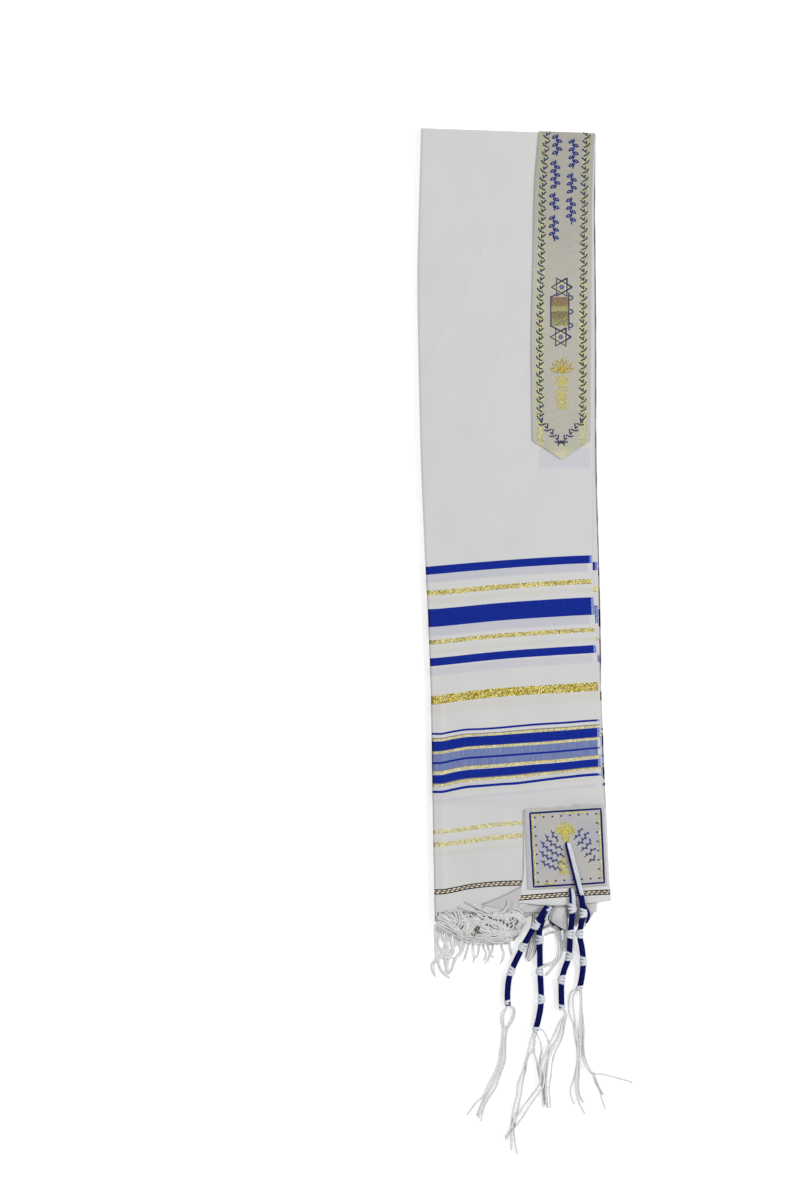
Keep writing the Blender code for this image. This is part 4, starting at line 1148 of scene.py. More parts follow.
def frameLine(inset, sides):
    # lines along sides of the frame: each from one share of its length to another
    corners = {"top": (0, 0, 1, 0), "right": (1, 0, 1, 1), "low": (1, 1, 0, 1),
               "left": (0, 1, 0, 0)}
    lines = []
    for side, first, last in sides:
        u1, v1, u2, v2 = corners[side]
        line = []
        for share in evenly(24, first, last):
            x, y = framePoint(blend(u1, u2, share), blend(v1, v2, share), inset)
            sway = 0.3 * noise.noise(Vector((x / 9, y / 9, inset)))
            line.append((x + sway, y + sway, 0))
        lines.append(line)
    return lines


def onPatch(name, strokes, step, width, material, share=0.3):
    return stitched(name, strokes, step, width, material, patchTop, "patch", share=share)


whole = [(side, 0, 1) for side in ("top", "right", "low", "left")]
onPatch("patchFrame", [sum(frameLine(0, whole), [])], 0, 1,
        yarn("frameBlue", (22, 34, 104), (16, 26, 88)))
goldParts = [("left", 0.02, 0.98), ("right", 0.03, 0.97), ("top", 0.04, 0.14), ("top", 0.46, 0.82),
             ("low", 0.70, 0.94)]
onPatch("patchGoldLine", frameLine(2.5, goldParts), 0, 0.95,
        metalYarn("frameGold", 0.0013, (244, 238, 176), 0.42))
dots = []
for share in evenly(8):
    for u, v in ((share, 0), (share, 1), (0, share), (1, share)):
        dots += turned([[(-0.9, 0), (0.9, 0)]], framePoint(u, v, 5.2))
onPatch("patchDots", dots, 0, 0.9, yarn("dotBlue", (40, 42, 84), (30, 32, 70)))

# ornament in the middle: a fan of gold leaves, a rosette, and a gold sprig below
fan = {"leaves": (44.6, -210.6), "rosette": (44.8, -215), "stem": (40.4, -236),
       "sprig": (40.8, -240), "width": 0.72}
goldFan = []
for k in range(9):
    goldFan += turned(almond(13 - 0.3 * abs(k - 4), 1.7), fan["leaves"],
                      math.radians(78 - 19.5 * k))
goldFan += turned(rosette(5.2, 6), fan["rosette"], 0.2)
goldFan += turned([[(0, 0), (1.6, -12), (3.4, -22)]], fan["stem"])
for k in range(3):
    spot = (fan["sprig"][0] + 0.9 * k, fan["sprig"][1] - 5.4 * k)
    goldFan += turned(almond(7, 1.4), spot, 2.2) + turned(almond(6, 1.3), spot, -2)
onPatch("patchFan", goldFan, 0.9, fan["width"], brightGold, share=0.15)

# leaf garlands in arcs below the fan, open where the knotted fringe lies
arcs = {"centre": (44.6, -203), "every": 3.1, "leaf": (3, 0.8), "width": 0.46,
        # radius, then from and to, in degrees
        "rows": [(16.5, 192, 236), (16.5, 302, 348), (24, 200, 258), (24, 300, 342),
                 (31.5, 209, 264), (31.5, 301, 330), (39, 222, 266), (39, 301, 321),
                 (46.5, 233, 262), (46.5, 302, 313)]}
marks = []
for radius, first, last in arcs["rows"]:
    count = max(round(math.radians(last - first) * radius / arcs["every"]), 2)
    angles = evenly(count + 1, math.radians(first), math.radians(last))
    stem = [polar(radius, angle, arcs["centre"]) for angle in angles]
    for k in range(1, count + 1):
        side = (-1, 1)[k % 2]
        marks += turned(almond(*arcs["leaf"]), stem[k], angles[k] + side * 0.95)
    marks += turned([stem], (0, 0))
onPatch("patchMarks", marks, 0.9, arcs["width"], navy)
print("corner and patch ready")

# the hem that curls up between the stems, an arch open at its lower end
curl = {"back": -289.5, "height": 7, "wall": 0.9, "along": 150, "front": 0.45, "lift": 1.5,
        "groove": (0.7, 0.07, 1.4), "lower": 0.8,  # two grooves along it: place, width, depth
        # its lower end, by the share of the way around
        "mouth": [(0, -302.5), (0.24, -305.8), (0.62, -313.8), (0.76, -315.6), (1, -314.8)],
        # its sides, by place
        "sides": [(-316, 24.2, 47), (-308, 24.4, 47), (-303, 25, 47),
                  (-298, 26.2, 46.9), (-293.5, 28.4, 46.4), (-290.8, 31.4, 45),
                  (-289.3, 34.4, 42.8)],
        # a dark sheet in the mouth, painted shade of the inside: from and to, middle and half
        # width of the arch, two deeper folds and how far they reach below the mouth
        "inside": (25.4, 42.4), "arch": (34.9, 12.1), "folds": ((30.4, 3.2), (38.8, 3.4)),
        "foldWidth": 2.4, "insideLift": 1.4, "insideSpan": (4, -0.4),
        "tones": {"white": (208, 208, 210), "shadeTone": (196, 196, 199)},
        "mouthShadeTones": {"white": (44, 42, 46), "shadeTone": (28, 26, 30)},
        # soft shadows: left, right, low and high side, strength, tone, softness
        "shadows": [((22, 28.6, -312, -294), 0.75, (150, 152, 158), 1.6),
                    ((44.2, 48, -318, -292.5), 0.75, (132, 132, 136), 1.2),
                    ((41.6, 42.6, -315, -297.5), 0.7, (120, 118, 122), 0.8),
                    ((29, 33.6, -296, -288), 0.6, (146, 146, 150), 1.6),
                    ((30, 46, -292, -288), 0.65, (128, 126, 130), 1),
                    ((30, 41, -313.6, -304.5), 0.45, (164, 162, 164), 2.2)]}


def curlPlace(turn, along):
    rounded = math.sqrt(1 - (1 - min(max(along / curl["front"], 0.04), 1)) ** 2)
    y = blend(curl["back"], readTable(curl["mouth"], turn), along)
    leftX, rightX = readTable(curl["sides"], y, 1), readTable(curl["sides"], y, 2)
    angle = blend(math.pi, 0, turn)
    x = (leftX + rightX) / 2 + (rightX - leftX) / 2 * math.cos(angle)
    place, width, deep = curl["groove"]
    groove = deep * math.exp(-((abs(math.cos(angle)) - place) / width) ** 2) * rounded
    rise = (curl["height"] * max(math.sin(angle), 0) ** 0.7 - groove) * rounded
    z = cloth["secondTop"] + curl["lift"] + max(rise, 0) * blend(1, curl["lower"], along)
    return Vector((x, y, z)) * mm, (20 + turn * 20, curl["along"])


def mouthShadePlace(across, down):
    x = blend(*curl["inside"], across)
    middle, half = curl["arch"]
    turn = 1 - math.acos((x - middle) / half) / math.pi
    upper, lower = curl["insideSpan"]
    for fold, deep in curl["folds"]:
        lower -= deep * math.exp(-((x - fold) / curl["foldWidth"]) ** 2)
    y = readTable(curl["mouth"], turn) + blend(upper, lower, down)
    return Vector((x, y, cloth["secondTop"] + curl["insideLift"])) * mm, (20, curl["along"])


curlCloth = clothGrid("curledHem", evenly(41), evenly(28), curlPlace, curl["wall"],
                      stripedCloth("curlCloth", shadows=curl["shadows"], tones=curl["tones"]),
                      "hem_curl")
# painted shade: a dark sheet lies in the curl's mouth
clothGrid("curlMouthShade", evenly(24), evenly(6), mouthShadePlace, 0.6,
          stripedCloth("curlShadow", tones=curl["mouthShadeTones"]))
print("hem curl ready")

# knotted corner fringes: wound stems with double knots, and loose tails
tassel = {
    "stemRadius": 3.3, "windPitch": 1.25, "windDepth": 0.24, "knotRadius": 2.85,
    "knotThread": 1.8, "tailOffset": 0.4, "tailRadius": 0.82, "tailPitch": 3.2,
    "windUneven": 0.03, "knotUneven": 0.22, "knotAside": 0.35, "knotSlant": 1.6,
    "level": 1.65, "floor": 1.1, "sway": 0.9, "loopThread": 1.3, "turnThread": 1.5,
    "lashThread": 1.25, "tailStep": 5, "shorter": 2.4,
    "tailRoot": (1.4, 1.5),  # how far apart the tails start, and how far back in the stem
    # turns of a knot: shift along the stem, slant, thickness
    "knotTurns": [(-3.2, 0.7, 0.9), (0.1, 0.1, 1.08), (3.2, -0.5, 0.95)],
    "lastTurns": [(0.6, 0.7, 0.8), (3, -0.4, 0.62)],
    "stems": {
        "tzitzit_1": {"knots": [24, 53, 83, 116], "route": [
            (24, -291, 11.8), (18.9, -298.4, 15.2), (11.4, -310.6, 12.6), (5, -322, 9.6),
            (-2.9, -336.7, 6.4), (-15.8, -364.7, 4.5), (-18.9, -385, 4.5), (-18.5, -399.9, 4.5)]},
        "tzitzit_2": {"knots": [29, 64, 95, 127], "route": [
            (22, -299.6, 10.4), (18.2, -309, 9.4), (15.8, -319.6, 6.4), (16.4, -330, 4.6),
            (16.6, -345, 4.5), (16.9, -362.5, 4.5), (18, -393.3, 4.5), (15.6, -412, 4.5),
            (11.9, -426.3, 4.5)]},
        "tzitzit_3": {"knots": [3.4, 32, 57.5, 84.5, 113], "route": [
            (51.3, -289, 14.3), (51.6, -300, 13.6), (49.9, -320.7, 9.2), (48.4, -345.4, 5.2),
            (43, -362, 4.5), (40.3, -375, 4.5), (40.5, -402, 4.5)]},
        "tzitzit_4": {"knots": [19.5, 43, 74.5, 103], "route": [
            (61.3, -277.8, 14.2), (63.4, -297, 14), (60.2, -320.7, 9.6), (62.6, -336, 6.6),
            (64.2, -350.4, 4.7), (63.2, -366, 4.5), (60.4, -380.6, 4.5)]}},
    "loops": {
        "tzitzit_3": [
            (50.8, -271.2, 9.3), (50.8, -271.6, 11), (51.3, -275.4, 12.2), (51.8, -281.4, 12.9),
            (52, -290.5, 14.2)],
        "tzitzit_4": [
            (46.6, -221.3, 9.5), (46.6, -221.5, 12), (47.3, -225, 13.2), (49, -231.5, 13.3),
            (54.7, -254, 13.3), (61.3, -279.5, 14.2)]},
    "turn": [(64.4, -288.6, 13), (68, -293.6, 11.8), (70.2, -299, 10), (69.6, -304.4, 8.6),
             (67.2, -308.6, 7.6)],
    "lash": [[(28.6, -291.4, 13), (26, -293.6, 15.2), (23.2, -294.2, 16)],
             [(27, -294.6, 12), (24.8, -299, 12.6), (21.8, -304, 11.6), (19.6, -308.4, 10)]],
    # stem, threads, then along their middle: place, how wide they spread, how high they lie
    "tails": [
        ("tzitzit_1", 4, [
            (-20.4, -402.6, 1.2), (-23.8, -408.6, 2.6), (-24.8, -417, 3.4), (-23.4, -425, 2.2),
            (-24, -438, 2.4), (-25.4, -450, 3.2), (-27.2, -461, 3), (-30, -470.6, 3),
            (-34.2, -480, 3.2), (-39, -490, 3.8), (-43.8, -499.6, 3.8), (-51.4, -510, 7),
            (-58.4, -523, 10)]),
        ("tzitzit_1", 4, [
            (-15.4, -400.6, 0.8), (-12, -403.4, 1.6), (-11.8, -409.4, 2.2), (-14.4, -417.6, 2.2),
            (-19.6, -426.4, 2), (-21.6, -438, 2.4), (-22.2, -450, 3), (-22.8, -461, 3.2),
            (-25.8, -471, 2.8), (-30, -481, 3.2), (-34, -490, 4.4), (-40.2, -500, 3.4),
            (-45.4, -511, 3), (-49.8, -526.6, 3.4)]),
        ("tzitzit_2", 4, [
            (9.4, -431, 1.6), (8.2, -438.6, 3.6), (7, -447, 4.8), (4, -454, 2.2), (1.6, -461, 1.9),
            (0.2, -470, 2.9), (-2.6, -480, 4.2), (-5, -489, 5), (-6.4, -499, 4.2), (-9.2, -511, 5),
            (-11.8, -523, 4.4), (-13, -535, 3.8), (-12.8, -547, 4), (-11.2, -563.6, 7)]),
        ("tzitzit_2", 3, [
            (12.8, -432, 2), (14.2, -441, 6.6), (14.4, -450, 7.7), (14.8, -458, 4.6),
            (15.6, -467, 3.8), (17, -476, 4.2), (19, -485, 2.8), (20.4, -494, 1.8),
            (21.2, -512.4, 2.2)]),
        ("tzitzit_2", 1, [
            (13.6, -428.2, 0), (17, -425.6, 0), (20.8, -428.2, 0), (24.4, -434.6, 0),
            (26.6, -442.4, 0), (26.4, -451, 0), (25, -461, 0), (24.2, -474, 0), (24.4, -494, 0),
            (25, -512.4, 0)]),
        ("tzitzit_3", 4, [
            (42.8, -404, 1), (44.6, -410, 1.4), (40.6, -418, 3.2), (37, -427, 4.4),
            (33.4, -436, 4.6), (28.6, -444, 3.6, 1.6), (25.2, -452, 3.4, 2.2),
            (21.4, -461, 4.2, 2.2), (19.5, -470, 4.6, 2.2), (19, -480, 4.4, 2.2),
            (17.2, -489.6, 4.8, 2.2), (11.2, -498, 5, 2), (4.6, -507, 5.4, 1.2),
            (-2, -516.6, 5.6, 1.6), (-8, -525.6, 4.6, 2.2), (-13.4, -534, 3, 2.2),
            (-18.2, -541, 1.8, 1.2), (-22.6, -547, 1.5, 0.4)]),
        ("tzitzit_3", 4, [
            (43.2, -404, 1), (45.4, -410.6, 1.6), (43, -420, 2.6), (40.8, -430, 3.2),
            (37.6, -439, 4.2), (33, -448, 4.6, 1.4), (29.4, -457, 4.6, 2), (27.4, -467, 4.6, 2),
            (26.1, -478, 5.2, 2), (24.9, -489, 4.6, 2), (25.3, -500, 4.4, 1.6),
            (26, -512.6, 5.2, 0.8)]),
        ("tzitzit_4", 1, [
            (56.4, -381.6, 0), (51.6, -384.8, 0), (49.5, -392, 0), (48.9, -402, 0),
            (50.2, -412, 0), (53.4, -420.6, 0), (54.9, -431, 0), (56, -440, 0), (57.6, -450, 0),
            (57.4, -462, 0), (55.4, -476, 0), (51.6, -488, 0), (50.7, -496, 0), (52.6, -502.6, 0),
            (55, -508.6, 0)]),
        ("tzitzit_4", 2, [
            (57.6, -383, 1), (54.2, -388, 1.3), (53.6, -398, 1.4), (54.8, -409, 1.4),
            (56.2, -421, 1.6), (58, -433, 1.8), (58.8, -446, 1.5), (58.6, -459, 1.4),
            (57.4, -472, 1.6), (56.8, -485, 1.4), (57.2, -497, 1.4), (60, -507, 1.6),
            (66.2, -519.2, 2)]),
        ("tzitzit_4", 2, [
            (60.6, -383, 1), (61.3, -400, 1.4), (60.7, -414, 1.4), (60.2, -428, 1.6),
            (60.8, -443, 1.4), (60.2, -459, 1.3), (60, -476, 1.3), (59.2, -489, 1.3),
            (60.9, -499, 1.4), (66.4, -509.4, 2.2)]),
        ("tzitzit_4", 2, [
            (62.6, -383, 1), (63.2, -402, 1.4), (64.6, -414, 1.5), (65.5, -426, 1.4),
            (64.8, -438, 1.4), (65.3, -448, 1.8), (67, -458, 2), (70.2, -466, 1.6),
            (75, -473.4, 1.6), (78.8, -481, 2.4), (82.2, -490, 1.8), (88.8, -503, 1.4)]),
        ("tzitzit_4", 1, [
            (62, -383, 0), (62.4, -404, 0), (62.4, -424, 0), (62.4, -444, 0), (64, -458, 0),
            (69.4, -469.6, 0, 1.6), (74.6, -475.6, 0, 1.6), (77.6, -484, 0), (82.4, -494, 0),
            (84.8, -503, 0), (88.8, -513.6, 0)]),
        ("tzitzit_4", 1, [
            (61.2, -384, 0), (61.8, -402, 0), (62.6, -420, 0), (63, -438, 0), (63.6, -452, 0),
            (66.2, -464, 0, 2), (71, -470.8, 0, 2.2), (77.8, -474.4, 0, 2.2),
            (86.4, -475.4, 0, 0.8), (97.6, -478.4, 0), (110, -481.6, 0), (119, -484.4, 0)])],
}
woundNavy = yarn("woundNavy", (18, 26, 98), (8, 12, 62))
whiteYarn = yarn("whiteYarn", (236, 235, 234), (218, 217, 216))
tailYarn = yarn("tailYarn", (238, 238, 239), (228, 228, 230))
# grey yarn: the bunch's own grey threads, and painted shade for the base threads under the tangle
greyAndShadeYarn = yarn("greyAndShadeYarn", (176, 173, 170), (146, 142, 140))
knotYarn = yarn("knotYarn", (226, 228, 233), (198, 202, 210))


def trimmed(route, length):
    route = list(route)
    while len(route) > 2 and (route[-1] - route[-2]).length <= length:
        length -= (route[-1] - route[-2]).length
        route.pop()
    route[-1] = route[-1] + (route[-2] - route[-1]).normalized() * length
    return route


def twistedRoutes(route, plies, offset, pitch):
    # the plies of a cord, turning round its middle line
    fine = smoothRoute(route, pitch / 6)
    made = [[] for _ in range(plies)]
    side, length = Vector((1, 0, 0)), 0
    for i, spot in enumerate(fine):
        along = alongAt(fine, i)
        along = along.normalized() if along.length > 1e-9 else Vector((0, -1, 0))
        side = side - along * side.dot(along)
        side = side.normalized() if side.length > 1e-6 else along.orthogonal().normalized()
        up = along.cross(side)
        if i:
            length += (spot - fine[i - 1]).length
        for ply in range(plies):
            turn = 2 * math.pi * (length / pitch + ply / plies)
            made[ply].append(spot + (side * math.cos(turn) + up * math.sin(turn)) * offset)
    return made


def woundStem(route):
    # a stem with the ridges of its winding
    fine = smoothRoute(route, tassel["windPitch"] / 4)
    depth = tassel["windDepth"] / tassel["stemRadius"]
    swells = [1 + tassel["windUneven"] * noise.noise(spot / 5)
              - (1 - (0, 0.75, 1, 0.75)[i % 4]) * depth for i, spot in enumerate(fine)]
    return fine, swells


def placeAlong(route, distance):
    fine = smoothRoute(route, 0.6)
    reach = 0
    for a, b in zip(fine, fine[1:]):
        step = (b - a).length
        if reach + step >= distance:
            return a.lerp(b, (distance - reach) / step), (b - a).normalized()
        reach += step
    return fine[-1], (fine[-1] - fine[-2]).normalized()


def knotRoutes(route, distance, number, last):
    # a double knot: three fat turns of thread, crowded on one side and apart on the other; a stem
    # ends in a smaller one
    middle, along = placeAlong(route, distance)
    side = Vector((along.y, -along.x, 0)).normalized()
    up = side.cross(along).normalized()
    lean = 1 if number % 2 else -1
    made = []
    for shift, slant, fat in tassel["lastTurns" if last else "knotTurns"]:
        loop = []
        for k in range(25):
            a = 2 * math.pi * k / 24
            offset = side * math.cos(a) + up * math.sin(a)
            around = Vector((math.cos(a), math.sin(a), shift))
            uneven = 1 + tassel["knotUneven"] * noise.noise(middle / 3 + around)
            loop.append(middle + offset * tassel["knotRadius"] * fat * uneven
                        + side * tassel["knotAside"] * lean
                        + along * (shift + slant * lean * tassel["knotSlant"] * math.cos(a)))
        made.append(loop)
    return made


def tailRoutes(stem):
    # loose threads of a stem's end, spread over the width that each bundle has along its way
    end = Vector(tassel["stems"][stem]["route"][-1])
    apart, back = tassel["tailRoot"]
    routes = []
    for number, (owner, count, line) in enumerate(tassel["tails"]):
        for i in range(count if owner == stem else 0):
            share = i // 2 - 0.5 if count > 2 else 0  # in pairs, one thread over the other
            places = [(end.x + apart * share, end.y + back, end.z)]
            for k, (x, y, wide, *level) in enumerate(line):
                (x1, y1, *_), (x2, y2, *_) = line[max(k - 1, 0)], line[min(k + 1, len(line) - 1)]
                across = Vector((y1 - y2, x2 - x1, 0)).normalized()
                sway = tassel["sway"] * noise.noise(Vector((y / 17, 7.3 * i, 3.1 * number)))
                spot = Vector((x, y, 0)) + across * (share * wide + sway * min(k / 3, 1))
                height = tassel["floor"] + (sum(level) + i % 2) * tassel["level"]
                places.append((spot.x, spot.y, blend(end.z, height, min(k / 2, 1))))
            shorter = tassel["shorter"] * ((i * 5 + number) % 4) * (count > 1)
            routes.append(trimmed(smoothRoute(places, tassel["tailStep"]), shorter))
    return routes


def loopRoute(stem, aside):
    middle = smoothRoute(tassel["loops"][stem], 1.5)
    return [spot + acrossAt(middle, i) * blend(0.75, 1, smoothStep(0, 10, i)) * aside
            for i, spot in enumerate(middle)]


for name, shape in tassel["stems"].items():
    short = name.replace("_", "")
    fine, swells = woundStem(shape["route"])
    threadPiece(short + "Winding", [fine], tassel["stemRadius"], 3, woundNavy, name,
                swells=[swells])
    knots = []
    for k, distance in enumerate(shape["knots"]):
        knots += knotRoutes(shape["route"], distance, k, k == len(shape["knots"]) - 1)
    threadPiece(short + "Knots", knots, tassel["knotThread"], 2, knotYarn)
    plies = []
    for route in tailRoutes(name):
        plies += twistedRoutes(route, 2, tassel["tailOffset"], tassel["tailPitch"])
    threadPiece(short + "Tails", plies, tassel["tailRadius"], 0, tailYarn)
    if name in tassel["loops"]:
        threadPiece(short + "LoopNavy", [loopRoute(name, -2)], tassel["loopThread"], 2, woundNavy)
        threadPiece(short + "LoopWhite", [loopRoute(name, 0.5), loopRoute(name, 2.5)],
                    tassel["loopThread"], 2, knotYarn)
threadPiece("tzitzit4Turn", [smoothRoute(tassel["turn"], 1)], tassel["turnThread"], 2, woundNavy)
threadPiece("tzitzit1Lash", [smoothRoute(route, 1) for route in tassel["lash"]],
            tassel["lashThread"], 2, knotYarn)
print("tzitzit ready")

# the fringe: a tangle over the hem
fringe = {
    "radius": 0.726, "ledge": 2, "slope": 0.8, "highest": 11.4, "left": -99, "right": -2,
    "baseThreads": 78, "topThreads": 34, "baseLength": (30, 48), "topLength": (18, 34),
    "baseSpan": (-98, -5), "topSpan": (-98, -6), "step": 1.6,
    "secondHem": -297.2,  # where threads start that don't come out of the front hem
    # how a thread strays from the sweep: at most so many degrees, in waves, and bending; and how
    # far above the rim it turns
    "heading": 26, "wave": (16, 46), "reach": (11, 22), "bend": 1.1, "spare": (0.3, 4.5),
    "lockApart": (1.3, 0.9), "lockWander": 1.5, "lockLift": 2.6,  # apart: usual, and how uneven
    # lower edge of the tangle
    "rim": [
        (-104, -309), (-99.6, -310.8), (-90, -316), (-73.4, -325.8), (-57.9, -332), (-17, -332.4),
        (-8, -325), (0, -310)],
    # which way the threads run, in degrees, from left to right
    "sweep": [(-100, -14), (-80, -28), (-55, -48), (-30, -75), (-8, -120)],
    # locks of threads that lie side by side: how many, and their middle line
    "locks": [
        (2, [(-64.6, -285.6), (-48.8, -293), (-36.5, -299.6), (-24.2, -301.2), (-12, -300.4)]),
        (5, [(-36, -300.4), (-24.2, -301.2), (-9.8, -299.8), (-2.6, -306.1), (-4, -315),
         (-13.5, -321), (-28.4, -319.4)]),
        (2, [(-72, -291.3), (-57, -295.4), (-40.6, -300.4), (-28.3, -302), (-16, -300)]),
        (5, [(-95, -300.6), (-86.1, -306.3), (-75.5, -315.6), (-68.8, -326.3)]),
        (5, [(-68, -299), (-63.5, -307.6), (-66.2, -315.6), (-71.2, -323.3)]),
        (5, [(-50.5, -303.3), (-56.9, -311.6), (-62.2, -318.3), (-64.8, -327.3)]),
        (4, [(-40.9, -303.6), (-46.2, -311.6), (-38.2, -316.3), (-30.2, -318.3), (-14.2, -319.6)]),
        (4, [(-49.5, -314.6), (-35.5, -319.6), (-19.6, -321.9), (-10.9, -319.3)]),
        (4, [(-20.9, -309), (-19.6, -302.3), (-11.6, -301), (-4.2, -305), (-2.6, -311.6),
         (-6.2, -318.3), (-13.9, -321.9)]),
        (5, [(-53.5, -324.3), (-40.9, -322.9), (-24.9, -323.3), (-12.6, -324.6)]),
        (6, [(-58.9, -330), (-43.5, -328.5), (-27.6, -328.3), (-13.9, -325.3)]),
        (2, [(-18.6, -283), (-19.4, -290), (-25, -296), (-36, -300.6)]),
        (2, [(-11, -284), (-13, -292), (-20, -298.6), (-34.9, -303.6)]),
        (4, [(-14, -295.4), (-8.6, -297.2), (-2.4, -301.3)]),
        (6, [(-97.5, -309.3), (-82.2, -317), (-66.2, -326.9), (-46.2, -329.9)]),
        (6, [(-73.8, -294.6), (-71.5, -305), (-75.5, -313), (-81.5, -318.3)]),
        (4, [(-45.5, -305.3), (-32.9, -309), (-24.9, -313), (-17.6, -316.6)]),
        (5, [(-88, -297), (-80, -304), (-70, -308), (-58, -306), (-46, -309)])],
}


def drape(x, y, floorHeight):
    past = readTable(cloth["layersHem"], x) - fringe["ledge"] - y
    return max(floorHeight, cloth["secondTop"] + 0.3 - max(past, 0) * fringe["slope"])


def tangledThread(x, y, lift, length):
    # one thread of the tangle: it wanders along the sweep, and turns along the rim
    heading = readTable(fringe["sweep"], x) + random.uniform(-fringe["heading"], fringe["heading"])
    wave, phase = random.uniform(*fringe["wave"]), random.uniform(0, 6.28)
    reach, bend = random.uniform(*fringe["reach"]), random.uniform(-fringe["bend"], fringe["bend"])
    spare = random.uniform(*fringe["spare"])
    route, step, way = [], fringe["step"], 0
    while way < length:
        height = drape(x, y, 1) + lift + 0.5 * math.sin(way / 5 + phase)
        route.append(Vector((x, y, min(height, fringe["highest"]))))
        angle = math.radians(heading + bend * way
                             + wave * math.sin(2 * math.pi * way / reach + phase))
        stepX, stepY = step * math.cos(angle), step * math.sin(angle)
        low = readTable(fringe["rim"], x) + spare
        if y + stepY < low:
            stepY = max(low - y, -0.2)
            stepX = math.copysign(max(abs(stepX), 1.2), stepX if abs(stepX) > 0.2 else 1)
        if not fringe["left"] <= x + stepX <= fringe["right"]:
            stepX = -stepX
            heading = 180 - heading
        x, y, way = x + stepX, y + stepY, way + step
    return smoothRoute(route[::2] + route[-1:], step)


def lockRoutes(number, count, places):
    # threads side by side along a line, closer and wider apart in places, every other one higher
    middle = smoothRoute([(x, y, 0) for x, y in places], 2.2)
    usual, more = fringe["lockApart"]
    made = []
    for k in range(count):
        route = []
        for i, spot in enumerate(middle):
            apart = usual + more * noise.noise(Vector((i / 6, number * 3.7, 0)))
            wander = noise.noise(Vector((i / 5, k * 5.1, number * 2.3))) * fringe["lockWander"]
            placed = spot + acrossAt(middle, i) * ((k - (count - 1) / 2) * apart + wander)
            placed.y = max(placed.y, readTable(fringe["rim"], placed.x) + 0.7)
            lift = fringe["lockLift"] + 0.35 * (number % 4) + 0.7 * (k % 2)
            height = drape(placed.x, placed.y, 1) + lift
            placed.z = min(max(height, 9.6 if placed.y > -290 else 0), 12.4)
            route.append(placed)
        made.append(smoothRoute(route, 1.5))
    return made


def fringeStart(x):
    # the threads come out of the front hem, and right of it out of the second ply's
    return min(readTable(cloth["frontHem"], x), fringe["secondHem"])


baseThreads, topThreads = [], []
for k in range(fringe["baseThreads"]):
    x = blend(*fringe["baseSpan"], (k + 0.5) / fringe["baseThreads"]) + random.uniform(-0.5, 0.5)
    length = random.uniform(*fringe["baseLength"])
    baseThreads.append(tangledThread(x, fringeStart(x) - 3, 0.7, length))
for k in range(fringe["topThreads"]):
    x = blend(*fringe["topSpan"], (k + 0.5) / fringe["topThreads"]) + random.uniform(-1, 1)
    start = fringeStart(x)
    length = random.uniform(*fringe["topLength"])
    route = tangledThread(x, start - 2.4, 1.5 + 0.8 * (k % 3), length)
    root = [Vector((x, start + 2, cloth["secondTop"] + 0.3)),
            Vector((x, start - 0.8, cloth["secondTop"] + 0.5))]
    topThreads.append(smoothRoute(root + route, 1.5))
for number, (count, places) in enumerate(fringe["locks"]):
    topThreads += lockRoutes(number, count, places)
# the base threads in grey yarn stand for the shade deep in the tangle: painted shade
threadPiece("fringeBase", baseThreads, fringe["radius"], 0, greyAndShadeYarn, slot="fringe")
threadPiece("fringeFront", topThreads, fringe["radius"], 0, whiteYarn, "fringe_front",
            slot="fringe")

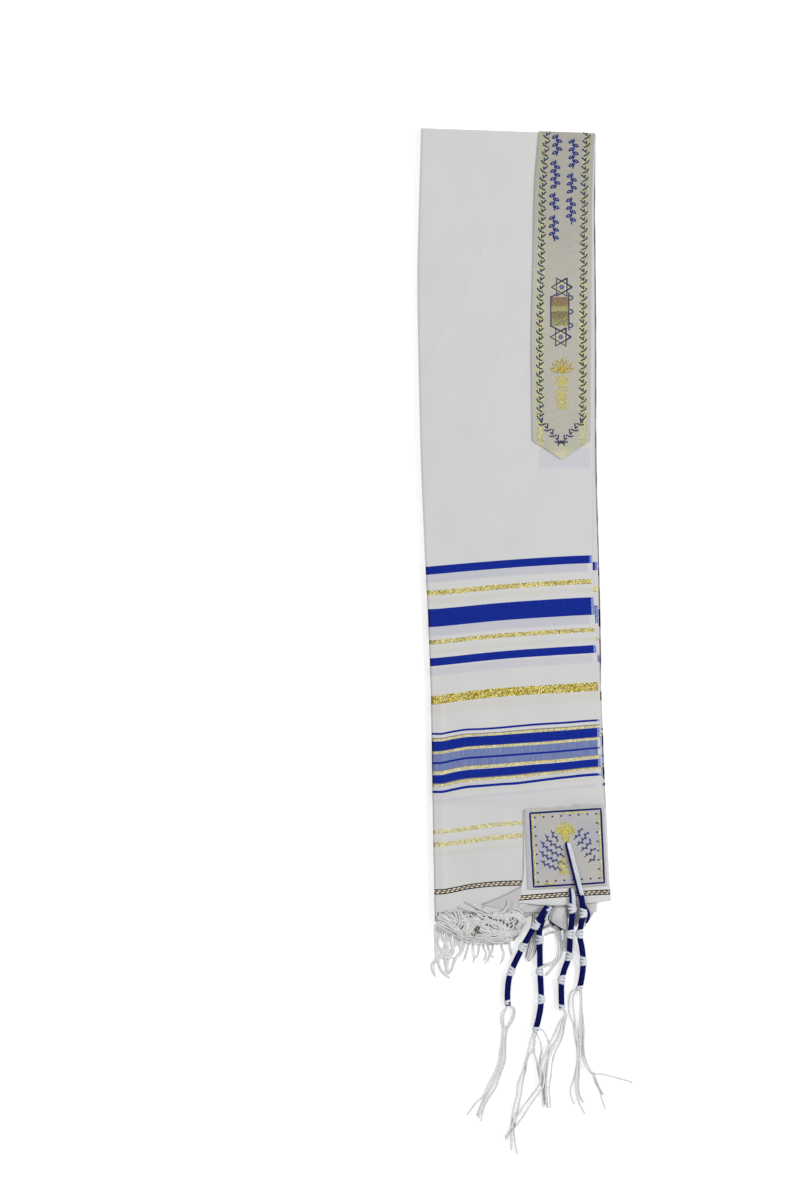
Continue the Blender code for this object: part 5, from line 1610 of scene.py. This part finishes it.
# strands that come out from under the tangle and lie loose on the floor
loose = {
    "radius": 0.78, "apart": 1.5, "thick": 8,  # the first strands have three threads, the rest two
    "strands": [
        [(-94.8, -311), (-94.8, -319.6), (-96.1, -331.6), (-91.5, -343.6), (-97.5, -348.9),
         (-102.1, -355.6), (-100.8, -363.6), (-97.5, -368.9)],
        [(-98, -312), (-98.5, -328), (-97.5, -340.9), (-95.5, -352.9), (-90.1, -364.9),
         (-80.8, -370.9)],
        [(-72, -320), (-72.8, -331.6), (-70.2, -339.6), (-76.8, -348.9), (-80.8, -360.9),
         (-84.8, -367.6)],
        [(-84, -316), (-82.2, -328.9), (-79.5, -340.9), (-87.5, -347.6), (-99.5, -348.2)],
        [(-87, -314), (-86.1, -324.9), (-88.8, -336.9), (-92.8, -344.9), (-99.5, -354.2)],
        [(-66, -324), (-67.5, -332.9), (-72.8, -344.9), (-79.5, -347.6), (-91.5, -347.6)],
        [(-90.5, -313), (-91, -326), (-86, -336), (-88, -352), (-84, -365)],
        [(-78, -318), (-77, -332), (-83, -342), (-86, -356), (-87, -366)],
        [(-61, -326), (-62.2, -334.3), (-63.5, -340.9), (-66.8, -351.6)],
        [(-57.5, -326), (-56.9, -336.9), (-55.5, -347.6), (-55.9, -353.6)],
        [(-50, -327), (-50.2, -335.6), (-51.5, -344.9), (-55.9, -349.6)],
        [(-45.5, -327), (-44.9, -337.6), (-42.2, -342.3), (-44.6, -351.6)],
        [(-40.5, -327), (-40.2, -336.3), (-38.2, -343.6), (-42.6, -354.2)],
        [(-35, -327), (-35.5, -339.6), (-37.1, -344.9), (-32.9, -347.6)],
        [(-25.5, -326), (-24.9, -337.6), (-22.9, -343.6), (-26.2, -354.9)],
        [(-17, -325), (-16.2, -338.3), (-14, -345.2)]],
    # a bunch that hangs from the hem between two stems: its middle line
    "bunch": [(12.6, -301.5, 1.9), (12, -312, 1.6), (10.8, -326, 1.3), (7.4, -340, 1.3),
              (4.6, -351.5, 1.3)],
    "bunchApart": 2.1, "bunchRadius": 1.25,
    # right of the bunch: threads, how far apart, and their middle line
    "looped": [
        (2, 1.7, [(36, -303, 1.6), (31, -309, 2.4), (26, -312.6, 2), (20, -315, 1.2)]),
        (3, 1.6, [(33.5, -303, 1.6), (29, -310.4, 4.2), (36, -316.6, 2.4), (39, -328, 1.1),
         (38.8, -344, 1.1), (32.6, -352.4, 1.1), (20.4, -357, 1)]),
        (2, 1.7, [(22.4, -323, 1), (27.4, -320.6, 1.2), (33.4, -320, 1.4), (36.6, -328, 2.8),
         (37.2, -340, 2.8), (35.4, -351, 2.8), (29.8, -359.4, 1.3), (23.4, -367, 1)])],
    # more threads side by side: how many, then along the first one its place, how far to the
    # right and up the next one lies, and how far up every other one lies besides
    "fans": [
        (5, [(40.5, -303.5, 1.4, 1.4, 0), (42.8, -318, 1.2, 1.1, 0), (42.4, -331, 0.9, 1.2, 0),
             (41, -338, 0.9, 1.3, 0, -3)]),
        (5, [(76.6, -292, 2.4, -2.3, 0), (75, -299, 1.5, -2.6, 0), (70.6, -306, 0.95, -1.9, -0.6),
             (66.4, -313, 0.95, -1.1, -0.8)]),
        (3, [(57.8, -296, 2.2, -1.3, 0), (57.6, -305, 1.2, -1.3, 0),
             (56.8, -314, 0.95, -1.2, 1)])],
}
looseThreads = []
for number, places in enumerate(loose["strands"]):
    for k in range(3 if number < loose["thick"] else 2):
        route = []
        for i, spot in enumerate(smoothRoute([(x, y, 0) for x, y in places], 3)):
            aside = 0.9 * noise.noise(Vector((i / 4, number * 2, k * 3)))
            lower = 0.8 * k * noise.noise(Vector((number * 1.7, k * 2, 0.5)))
            spot = spot + Vector((loose["apart"] * (k - 0.5) + aside, lower, 0))
            spot.z = max(drape(spot.x, spot.y, 0.85) - 1.2, 0.85) + 0.9 * (k % 2)
            route.append(spot)
        looseThreads.append(trimmed(smoothRoute(route, 1.8), 2.2 * k))
threadPiece("fringeUnder", looseThreads, loose["radius"], 0, tailYarn, "fringe_under",
            slot="fringe")


def bunchRoutes(count, up):
    # the bunch's threads, drawn together at its end
    made = []
    for k in range(count):
        aside = (k - (count - 1) / 2) * loose["bunchApart"]
        places = [(x + aside * blend(0.8, 1, min(i / 2, 1)), y, z + up)
                  for i, (x, y, z) in enumerate(loose["bunch"][:-1])]
        x, y, z = loose["bunch"][-1]
        places.append((x + aside * 0.66, y + 0.9 * abs(aside), z + up))
        made.append(smoothRoute(places, 1.5))
    return made


threadPiece("fringeMid", bunchRoutes(5, 0), loose["bunchRadius"], 1, greyAndShadeYarn, "fringe_mid",
            slot="fringe")
threadPiece("fringeMidTop", bunchRoutes(4, 1.3), loose["radius"] + 0.02, 1, whiteYarn,
            slot="fringe")


def besideRoutes(count, apart, places):
    # threads side by side that lie on the floor
    middle = smoothRoute(places, 2)
    made = []
    for k in range(count):
        route = []
        for i, spot in enumerate(middle):
            wander = 0.5 * noise.noise(Vector((i / 4, k * 5, places[0][0])))
            route.append(spot + acrossAt(middle, i) * ((k - (count - 1) / 2) * apart + wander)
                         + Vector((0, 0, 0.25 * (k % 2))))
        made.append(route)
    return made


looped = []
for row in loose["looped"]:
    looped += besideRoutes(*row)
for count, line in loose["fans"]:
    looped += [[(x + right * k, y + up * k + sum(other) * (k % 2), z)
                for x, y, z, right, up, *other in line] for k in range(count)]
threadPiece("fringeRight", [smoothRoute(route, 1.6) for route in looped], 0.86, 0, tailYarn,
            "fringe_right", slot="fringe")
print("fringe ready")
